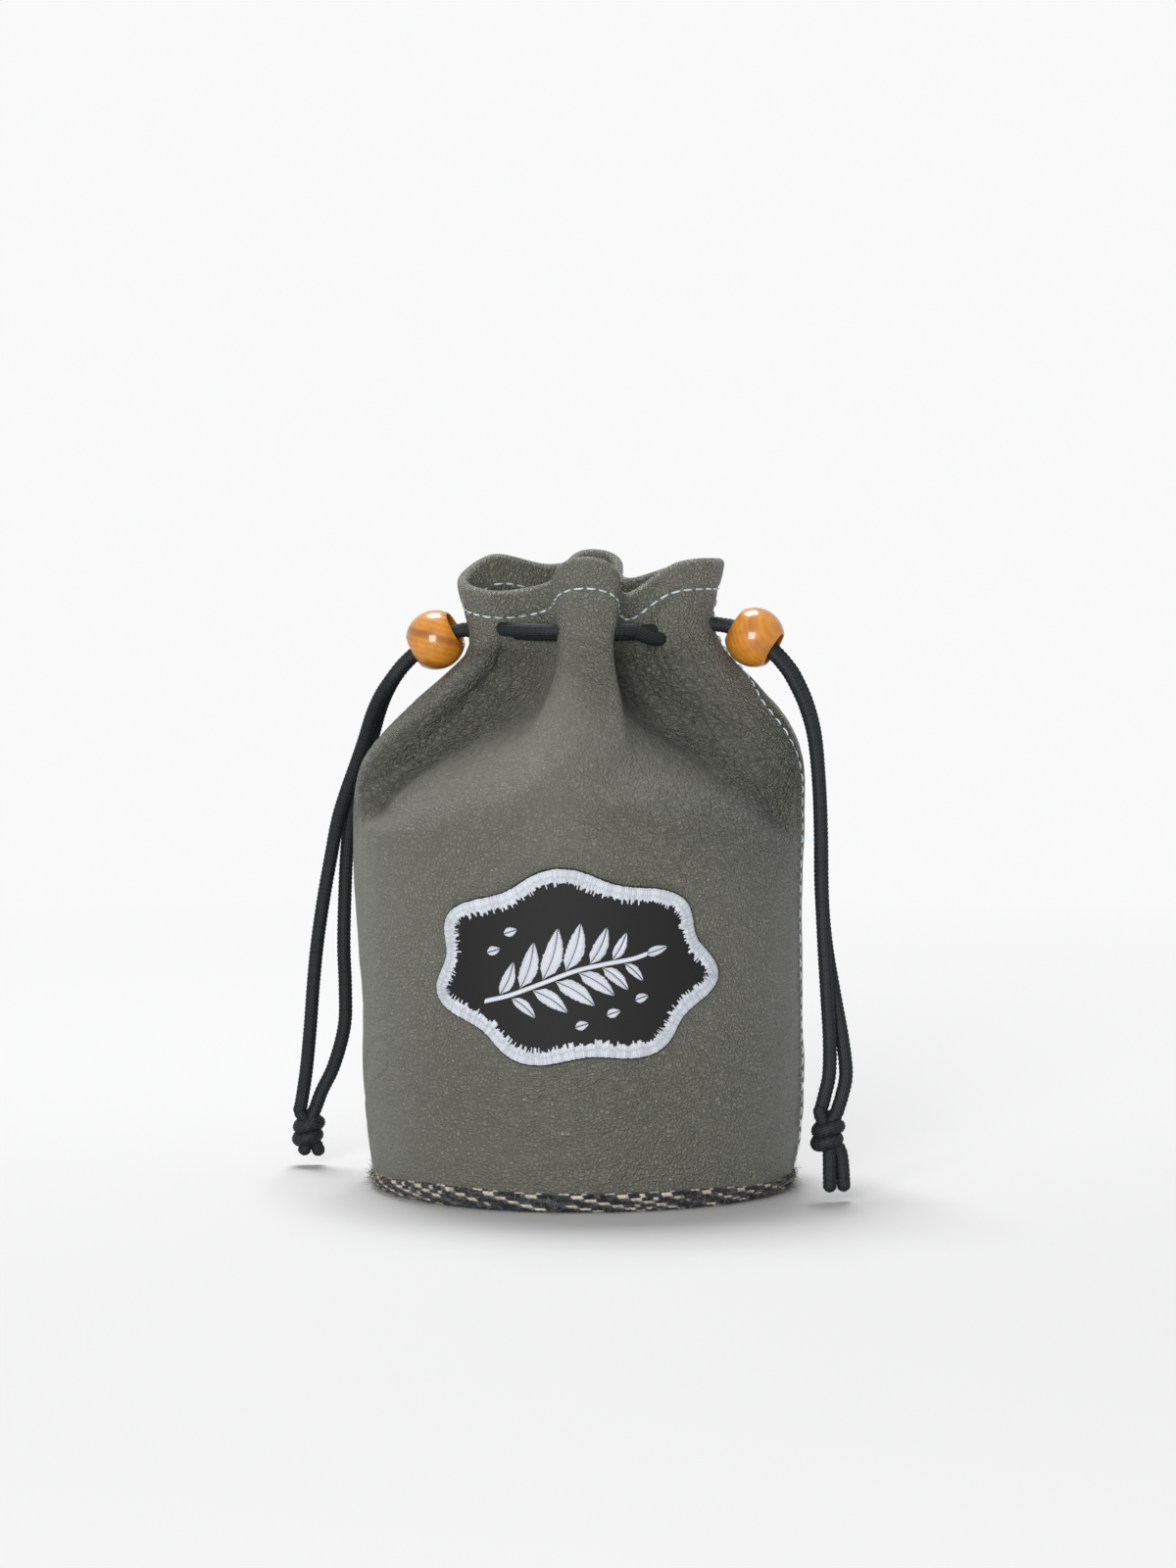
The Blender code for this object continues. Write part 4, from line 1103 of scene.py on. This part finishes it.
def border_outline(material):
    """Thin dark line of stitches along the border's outer edge."""
    turns = full_turn(1440)
    wide, high = patch_edge(turns)
    wave = 0.10 * MM * np.sin(turns * 240)
    points = np.array(on_patch(wide * 1.004, high * 1.006, PATCH_GAP + 0.28 * MM + wave))
    ahead = unit(np.roll(points, -1, axis=0) - np.roll(points, 1, axis=0))
    out = unit(points * np.array([1.0, 1.0, 0.0]))
    across = np.cross(ahead, out)
    ring = full_turn(6)[None, :, None]
    shape = Shape()
    tube = points[:, None] + 0.27 * MM * (across[:, None] * np.cos(ring) + out[:, None] * np.sin(ring))
    shape.add(tube, grid_faces(len(turns), ring.size, close_columns=True, close_rows=True), 0.4)
    shape.make("patch_outline", material)


def satin_leaf(shape, foot, tip, width, bend, random):
    """One leaf in satin stitch: two halves of slanted stitches that meet in a sunken midrib."""
    along = tip - foot
    length = np.linalg.norm(along)
    along = along / length
    beside = left_of(along)
    for half in (-1.0, 1.0):
        count = max(10, round(length / SATIN_STEP))
        across = np.linspace(0.0, 1.0, SATIN_POINTS)
        place, share = np.meshgrid(np.linspace(0.0, 1.0, count), across, indexing="ij")
        slanted = place + share * 0.20 * (1.0 - place)
        outline = np.sin(pi * np.clip(slanted, 0.0, 1.0) ** 0.85) ** 0.75 * width / 2
        stitches = np.arange(count) // SATIN_ROWS
        jitter = random.uniform(-0.07, 0.07, count // SATIN_ROWS + 1)[stitches][:, None]
        curve = bend * np.sin(pi * slanted)
        off = curve + half * (0.10 * MM + share * np.maximum(outline - 0.10 * MM, 0.0) * (1.0 + jitter))
        spot = foot + along * (slanted * length)[..., None] + beside * off[..., None]
        profile = np.sin(pi * np.clip(share * 0.94 + 0.03, 0.0, 1.0)) ** 0.5
        ridge = thread_ridges(count, SATIN_ROWS)
        ends = ease(np.minimum(slanted, 1.0 - slanted) * 9.0 + 0.15)
        lift = PATCH_GAP + SATIN_LIFT + (0.55 + 0.12 * ridge) * profile * MM * ends
        faces = grid_faces(count, SATIN_POINTS)
        if half < 0.0:
            faces = flipped(faces)
        # Each leaf's own tone, with painted shade between its raised rows of stitches
        tone_and_shade = (0.25 + 0.75 * ridge) * np.ones_like(share) * random.uniform(0.85, 1.0)
        shape.add(on_patch(spot[..., 0], spot[..., 1], lift), faces, tone_and_shade)


def satin_line(shape, route, width):
    """A stem in narrow slanted satin stitches along a route on the patch."""
    route = flat_route(route, SATIN_STEP)
    way = unit(np.gradient(route, axis=0))
    beside = left_of(way)
    share = np.linspace(-1.0, 1.0, SATIN_POINTS)
    aside = (share * width / 2)[None, :, None]
    slant = (share * 0.35 * MM)[None, :, None]
    spot = route[:, None] + beside[:, None] * aside + way[:, None] * slant
    ridge = thread_ridges(len(route), SATIN_ROWS)
    lift = PATCH_GAP + SATIN_LIFT + (0.50 + 0.12 * ridge) * np.sqrt(1.0 - (share * 0.97) ** 2)[None] * MM
    faces = flipped(grid_faces(len(route), len(share)))
    # Painted shade between the raised rows of the stem's stitches
    shape.add(on_patch(spot[..., 0], spot[..., 1], lift), faces, (0.45 + 0.55 * ridge) * np.ones_like(lift))


def sprig(material):
    """A curved sprig with paired leaves and seeds, sewn over the patch's middle."""
    random = np.random.default_rng(33)
    shape = Shape()
    stem = [np.array(point) * MM for point in STEM]
    satin_line(shape, stem, 1.15 * MM)
    line = flat_route(stem, 0.5 * MM)
    way = unit(np.gradient(line, axis=0))
    for share, size in LEAVES:
        spot = int(share * (len(line) - 1))
        ahead = way[spot]
        beside = left_of(ahead)
        for half in (-1.0, 1.0):
            length = size * (1.0 if half > 0 else 0.86) * MM
            foot = line[spot] + beside * half * 0.7 * MM + ahead * (0.0 if half > 0 else 3.0 * MM)
            tip = foot + (ahead * 0.62 + beside * half * 0.80) * length
            satin_leaf(shape, foot, tip, length * 0.36, half * -0.06 * length, random)
    bud = line[-1] - way[-1] * 0.5 * MM
    satin_leaf(shape, bud, line[-1] + way[-1] * 6.0 * MM, 2.5 * MM, 0.0, random)
    reach = np.array([1.9, 0.6])
    for seed in SEEDS:
        satin_leaf(shape, (seed - reach) * MM, (seed + reach) * MM, 2.4 * MM, 0.0, random)
    shape.make("patch_sprig", material, sharp=75.0)


# Cords, knots and beads

def braided(shape, points, radius, settings, round_ends=(False, False)):
    """Braided cord along a run of points: columns of slanted stitches that meet in herringbones."""
    around = BRAID_COLUMNS * BRAID_POINTS
    across, away = path_frames(points)
    place = lengths_along(points)
    turns = full_turn(around)
    column = turns / (2 * pi) * BRAID_COLUMNS
    number = np.floor(column + 1e-9)
    offset = column - number - 0.5 + 0.5 / BRAID_POINTS
    slant = np.where(np.mod(number, 2) == 0, 1.0, -1.0)
    along = place[:, None] / settings.braid_pitch + (slant * offset * 0.8)[None]
    along = along - np.round(along)
    crest = np.cos(pi * offset)[None] ** 0.8 * (0.30 + 0.70 * np.cos(pi * along) ** 0.7)
    size = radius * (1.0 - settings.braid_relief * (1.0 - crest))
    shrink = np.ones(len(points))
    for end, wanted in ((0, round_ends[0]), (-1, round_ends[1])):
        if wanted:
            reach = np.abs(place - place[end]) / (radius * 0.9)
            shrink = shrink * np.sqrt(np.clip(1.0 - (1.0 - np.minimum(reach, 1.0)) ** 2, 0.02, 1.0))
    size = size * shrink[:, None]
    turns = turns[None, :, None]
    ring = across[:, None] * np.cos(turns) + away[:, None] * np.sin(turns)
    faces = flipped(grid_faces(len(points), around, close_rows=True))
    faces += [tuple(range(around)), tuple((len(points) - 1) * around + np.arange(around)[::-1])]
    # crest also sets the cord's colour: painted light on the crests, painted shade in the hollows
    shape.add(points[:, None] + ring * size[..., None], faces, crest)


def strand(name, points, settings, material, node):
    """One hanging strand of a cord, from the leather to its knot."""
    shape = Shape()
    braided(shape, points, CORD / 2, settings)
    piece = shape.make(name, material, (node,), sharp=80.0)
    points[::6].tolist() + [points[-1].tolist()]


def knot(name, spec, mouths, settings, material, node):
    """Overhand knot tied in both strands at once: two turns round a core, and two short tails."""
    middle = np.array(spec["middle"]) * MM
    half = np.array(spec["half"]) * MM
    shape = Shape()
    turn = np.linspace(*KNOT_TURNS, KNOT_POINTS)
    rise = np.linspace(*KNOT_RISE, KNOT_POINTS)
    reach = KNOT_REACH * np.sin(pi * np.linspace(0.06, 0.94, KNOT_POINTS)) ** 0.35
    angle = turn * 2 * pi + 0.7
    wrap = middle + np.stack([reach * np.cos(angle) * half[0], reach * np.sin(angle) * half[1],
                              (rise + 0.24 * np.cos(angle)) * half[2]], axis=-1)
    braided(shape, smooth_route(wrap, CORD_STEP), KNOT_CORD, settings, round_ends=(True, True))
    for index, end in enumerate(spec["tails"]):
        foot = np.array(end) * MM
        start = mouths[index][-1]
        ahead = unit(start - mouths[index][-9]) * 1.6 * MM
        below = foot * np.array([1.0, 1.0, 0.0]) + (middle - half * 0.9) * np.array([0.0, 0.0, 1.0])
        through = [start, start + ahead, middle * 0.6 + (start + ahead) * 0.4, middle * 0.7 + below * 0.3,
                   below * 0.8 + middle * np.array([0.2, 0.2, 0.0]) + below * np.array([0.0, 0.0, 0.2]), foot]
        braided(shape, smooth_route(through, CORD_STEP), CORD / 2, settings, round_ends=(False, True))
    return shape.make(name, material, (node,), sharp=80.0)


def bead(name, run, body, material, node):
    """Turned bead with a straight bore, whose mouths are eased."""
    turn = radians(run["heading"])
    fall = radians(run["fall"])
    bore_way = Vector((cos(turn), sin(turn), 0.0)) * cos(fall) - Vector((0, 0, 1)) * sin(fall)
    radius = BEAD / 2
    bore = BEAD_BORE / 2
    chamfer = BEAD_CHAMFER
    start = atan2(bore + chamfer, (radius ** 2 - (bore + chamfer) ** 2) ** 0.5)
    outline = [(radius * sin(angle), radius * cos(angle)) for angle in np.linspace(start, pi - start, 49)]
    end = outline[-1][1]
    for step in (1, 2, 3, 4):
        share = radians(22.5 * step)
        outline.append((bore + chamfer * (1.0 - sin(share)), end + chamfer * (1.0 - cos(share)) * 1.2))
    outline += [(away, -height) for away, height in outline[:-5:-1]]
    turns = full_turn(96)
    away, height = np.array(outline).T
    points = about_axis(away[None], turns[:, None], height[None] + 0.0 * turns[:, None])
    shape = Shape()
    turned = np.array(bore_way.to_track_quat("Z", "Y").to_matrix())
    centre = np.array(run["bead"]) * MM
    shape.add(points.reshape(-1, 3) @ turned.T + centre, grid_faces(len(turns), len(outline), True, True))
    shape.make(name, material, (node,), body=body, sharp=60.0, origin=tuple(centre))


# Settings that a user would change

def number_field(name, description, default, **more):
    return bpy.props.FloatProperty(name=name, description=description, default=default, min=0.0, **more)


def size_field(name, description, default):
    return number_field(name, description, default, unit="LENGTH", precision=5)


def colour_field(name, description, default):
    return bpy.props.FloatVectorProperty(name=name, description=description, default=default, size=3,
                                         subtype="COLOR", min=0.0, max=1.0)


class PouchLeatherSettings(bpy.types.PropertyGroup):
    colour: colour_field("Leather", "Colour of the leather", (0.192, 0.194, 0.157))
    grain: number_field("Grain", "Pebbles of the grain in a metre", 900.0)
    grain_depth: number_field("Grain Depth", "Strength of the grain", 0.85, subtype="FACTOR", max=1.0)
    thread: colour_field("Thread", "Colour of the stitching", (0.48, 0.56, 0.57))
    stitch_pitch: size_field("Stitch Pitch", "Distance from one stitch to the next", 3.3 * MM)
    stitch_gap: size_field("Stitch Gap", "Leather showing between two stitches", 0.75 * MM)
    stitch_width: size_field("Stitch Width", "Thickness of the sewing thread", 0.55 * MM)


class PouchTweedSettings(bpy.types.PropertyGroup):
    dark: colour_field("Dark Yarn", "Colour of the darkest yarns", (0.010, 0.010, 0.012))
    middle: colour_field("Grey Yarn", "Colour of the grey yarns", (0.095, 0.10, 0.11))
    light: colour_field("Light Yarn", "Colour of the cream yarns", (0.60, 0.55, 0.44))
    yarn_relief: size_field("Yarn Relief", "Height of the yarns", 0.85 * MM)
    fibres: bpy.props.IntProperty(name="Fibres", description="Number of stray fibres", default=5200, min=0)


class PouchPatchSettings(bpy.types.PropertyGroup):
    thread: colour_field("Thread", "Colour of the border and the sprig", (0.56, 0.58, 0.64))
    ground: colour_field("Ground", "Colour of the patch's cloth", (0.0065, 0.006, 0.008))
    border_width: size_field("Border Width", "Width of the satin border", 3.9 * MM)
    border_stitches: bpy.props.IntProperty(name="Border Stitches", description="Stitches round the border",
                                           default=520, min=60)


class PouchCordSettings(bpy.types.PropertyGroup):
    colour: colour_field("Cord", "Colour of the braided cord", (0.0085, 0.0115, 0.0125))
    braid_pitch: size_field("Braid Pitch", "Distance from one stitch of the braid to the next", 1.2 * MM)
    braid_relief: number_field("Braid Relief", "Depth of the braid in cord radii", 0.20, subtype="FACTOR",
                               max=0.4)


class PouchBeadSettings(bpy.types.PropertyGroup):
    colour: colour_field("Wood", "Colour of the varnished wood", (0.52, 0.200, 0.018))
    grain_colour: colour_field("Grain", "Colour of the grain's dark lines", (0.20, 0.055, 0.006))
    grain_lines: number_field("Grain Lines", "How close the grain's lines lie", 820.0)


class PouchStageSettings(bpy.types.PropertyGroup):
    floor: colour_field("Floor", "Colour of the floor", (0.68, 0.685, 0.685))
    backdrop: colour_field("Backdrop", "Shade that the floor fades into", (0.945, 0.955, 0.95))
    daylight: number_field("Daylight", "Strength of the even light", 0.24)
    key: number_field("Key Light", "Power of the soft light overhead", 25.0, unit="POWER")


class PouchSettings(bpy.types.PropertyGroup):
    leather: bpy.props.PointerProperty(type=PouchLeatherSettings)
    tweed: bpy.props.PointerProperty(type=PouchTweedSettings)
    patch: bpy.props.PointerProperty(type=PouchPatchSettings)
    cords: bpy.props.PointerProperty(type=PouchCordSettings)
    beads: bpy.props.PointerProperty(type=PouchBeadSettings)
    stage: bpy.props.PointerProperty(type=PouchStageSettings)


# Operators

class POUCH_OT_leather(bpy.types.Operator):
    """Build both leather panels"""
    bl_idname = "pouch.leather"
    bl_label = "Leather Panels"

    def execute(self, context):
        material = leather_finish(context.scene.pouch.leather)
        leather_panel("leather_front", left_seam_before, right_seam, material, "front_panel")
        leather_panel("leather_back", right_seam, left_seam, material, "back_panel")
        return {"FINISHED"}


class POUCH_OT_stitching(bpy.types.Operator):
    """Sew the hem round the mouth and the two side seams"""
    bl_idname = "pouch.stitching"
    bl_label = "Stitching"

    def execute(self, context):
        settings = context.scene.pouch.leather
        material = thread_finish("pouch_thread", settings.thread)
        shape = Shape()
        turn = float(right_seam(HEM_LINE))
        for start, end in ((LEFT_SEAM - PHASES_ROUND, turn), (turn, LEFT_SEAM)):
            phases = np.linspace(start + HEM_STITCH_ASIDE, end - HEM_STITCH_ASIDE, 900)
            heights = np.full(len(phases), HEM_LINE)
            for inward in (False, True):
                stitched_line(shape, phases, heights, settings, inward, seed=5 + inward)
        shape.make("hem_stitches", material)
        seams = Shape()
        heights = np.linspace(EDGE_HEIGHT + 2.0 * MM, TOP - HEM_WIDTH, 500)
        for phases in (right_seam(heights) - SEAM_STITCH_ASIDE, left_seam(heights) + SEAM_STITCH_ASIDE):
            stitched_line(seams, phases, heights, settings, seed=9)
        seams.make("seam_stitches", material)
        return {"FINISHED"}


class POUCH_OT_tweed(bpy.types.Operator):
    """Weave the tweed base"""
    bl_idname = "pouch.tweed"
    bl_label = "Tweed Base"

    def execute(self, context):
        settings = context.scene.pouch.tweed
        tweed(settings, tweed_finish(settings))
        return {"FINISHED"}


class POUCH_OT_patch(bpy.types.Operator):
    """Embroider the patch with a sprig of leaves"""
    bl_idname = "pouch.patch"
    bl_label = "Patch"

    def execute(self, context):
        settings = context.scene.pouch.patch
        thread = thread_finish("pouch_patch_thread", settings.thread, 0.4)
        ground = thread_finish("pouch_patch_ground", settings.ground, 0.7)
        patch_ground(ground)
        satin_border(settings, thread)
        border_outline(ground)
        sprig(thread)
        return {"FINISHED"}


class POUCH_OT_beads(bpy.types.Operator):
    """Turn both wooden beads"""
    bl_idname = "pouch.beads"
    bl_label = "Beads"

    def execute(self, context):
        settings = context.scene.pouch.beads
        banded = wood_finish(settings, "pouch_wood_left", (0.25, 0.1, 0.96), True)
        mottled = wood_finish(settings, "pouch_wood_right", (0.75, -0.5, 0.42), False)
        bead("bead_left_wood", LEFT_RUN, "bead_left_slider", banded, "bead_left")
        bead("bead_right_wood", RIGHT_RUN, "bead_right_slider", mottled, "bead_right")
        return {"FINISHED"}


class POUCH_OT_cords(bpy.types.Operator):
    """Braid both cords, run them round the mouth and knot their ends"""
    bl_idname = "pouch.cords"
    bl_label = "Cords"

    def execute(self, context):
        settings = context.scene.pouch.cords
        material = cord_finish(settings)
        for side, routes, spec in (("left", left_routes(), LEFT_KNOT), ("right", right_routes(), RIGHT_KNOT)):
            front, loop, back = cord_parts(routes)
            ties = knot("cord_knot_" + side, spec, (front, back), settings, material, "knot_" + side)
            node = "drawcord_" + side
            others = [ties, bpy.data.objects["bead_" + side + "_wood"]]
            strand("cord_front_" + side, front, settings, material, node)
            strand("cord_back_" + side, back, settings, material, node)
            shape = Shape()
            braided(shape, loop, CORD / 2, settings)
            shape.make("cord_loop_" + side, material, (node,), sharp=80.0)
        return {"FINISHED"}


class POUCH_OT_stage(bpy.types.Operator):
    """Set up the pale studio, its soft lights and the camera"""
    bl_idname = "pouch.stage"
    bl_label = "Studio"

    def aim(self, thing, place, target):
        """Put a lamp or the camera at a place, looking at another."""
        thing.location = place
        thing.rotation_euler = (Vector(target) - Vector(place)).to_track_quat("-Z", "Y").to_euler()
        bpy.context.scene.collection.objects.link(thing)

    def execute(self, context):
        settings = context.scene.pouch.stage
        scene = context.scene
        tone = colour(settings.floor)
        floor = Finish("studio_floor", Roughness=0.8, Specular_IOR_Level=0.2, Base_Color=tone)
        floor.fade_to(settings.backdrop, *FLOOR_FADE)
        rim = [(FLOOR_RADIUS * cos(turn), FLOOR_RADIUS * sin(turn), 0.0) for turn in full_turn(96)]
        mesh = bpy.data.meshes.new("studio_floor")
        mesh.from_pydata(rim, [], [range(len(rim))])
        mesh.materials.append(floor.material)
        ground = bpy.data.objects.new("studio_floor", mesh)
        scene.collection.objects.link(ground)
        for name, (share, size, place, aim) in LAMPS.items():
            light = bpy.data.lights.new("studio_" + name, "AREA")
            light.energy = settings.key * share
            light.size = size
            lamp = bpy.data.objects.new("studio_" + name, light)
            lamp.visible_camera = False
            self.aim(lamp, place, aim)
        scene.world = Daylight(settings.daylight, settings.backdrop).world
        camera = bpy.data.cameras.new("camera")
        camera.lens = CAMERA_LENS
        camera.sensor_width = CAMERA_SENSOR
        scene.camera = bpy.data.objects.new("camera", camera)
        self.aim(scene.camera, CAMERA_PLACE, CAMERA_AIM)
        scene.view_settings.view_transform = "Standard"
        return {"FINISHED"}


class POUCH_PT_panel(bpy.types.Panel):
    """Lists the steps that build the pouch"""
    bl_idname = "POUCH_PT_panel"
    bl_label = "Valuables Pouch"
    bl_space_type = "VIEW_3D"
    bl_region_type = "UI"
    bl_category = "Pouch"

    def draw(self, context):
        for operator in OPERATORS:
            self.layout.operator(operator.bl_idname)


OPERATORS = (POUCH_OT_stage, POUCH_OT_leather, POUCH_OT_stitching, POUCH_OT_tweed, POUCH_OT_patch,
             POUCH_OT_beads, POUCH_OT_cords)
CLASSES = (PouchLeatherSettings, PouchTweedSettings, PouchPatchSettings, PouchCordSettings, PouchBeadSettings,
           PouchStageSettings, PouchSettings) + OPERATORS + (POUCH_PT_panel,)


def register():
    for item in CLASSES:
        bpy.utils.register_class(item)
    bpy.types.Scene.pouch = bpy.props.PointerProperty(type=PouchSettings)


def unregister():
    del bpy.types.Scene.pouch
    for item in reversed(CLASSES):
        bpy.utils.unregister_class(item)


def main():
    register()
    bpy.ops.pouch.stage()
    bpy.ops.pouch.leather()
    bpy.ops.pouch.stitching()
    bpy.ops.pouch.tweed()
    bpy.ops.pouch.patch()
    bpy.ops.pouch.beads()
    bpy.ops.pouch.cords()


if __name__ == "__main__":
    main()
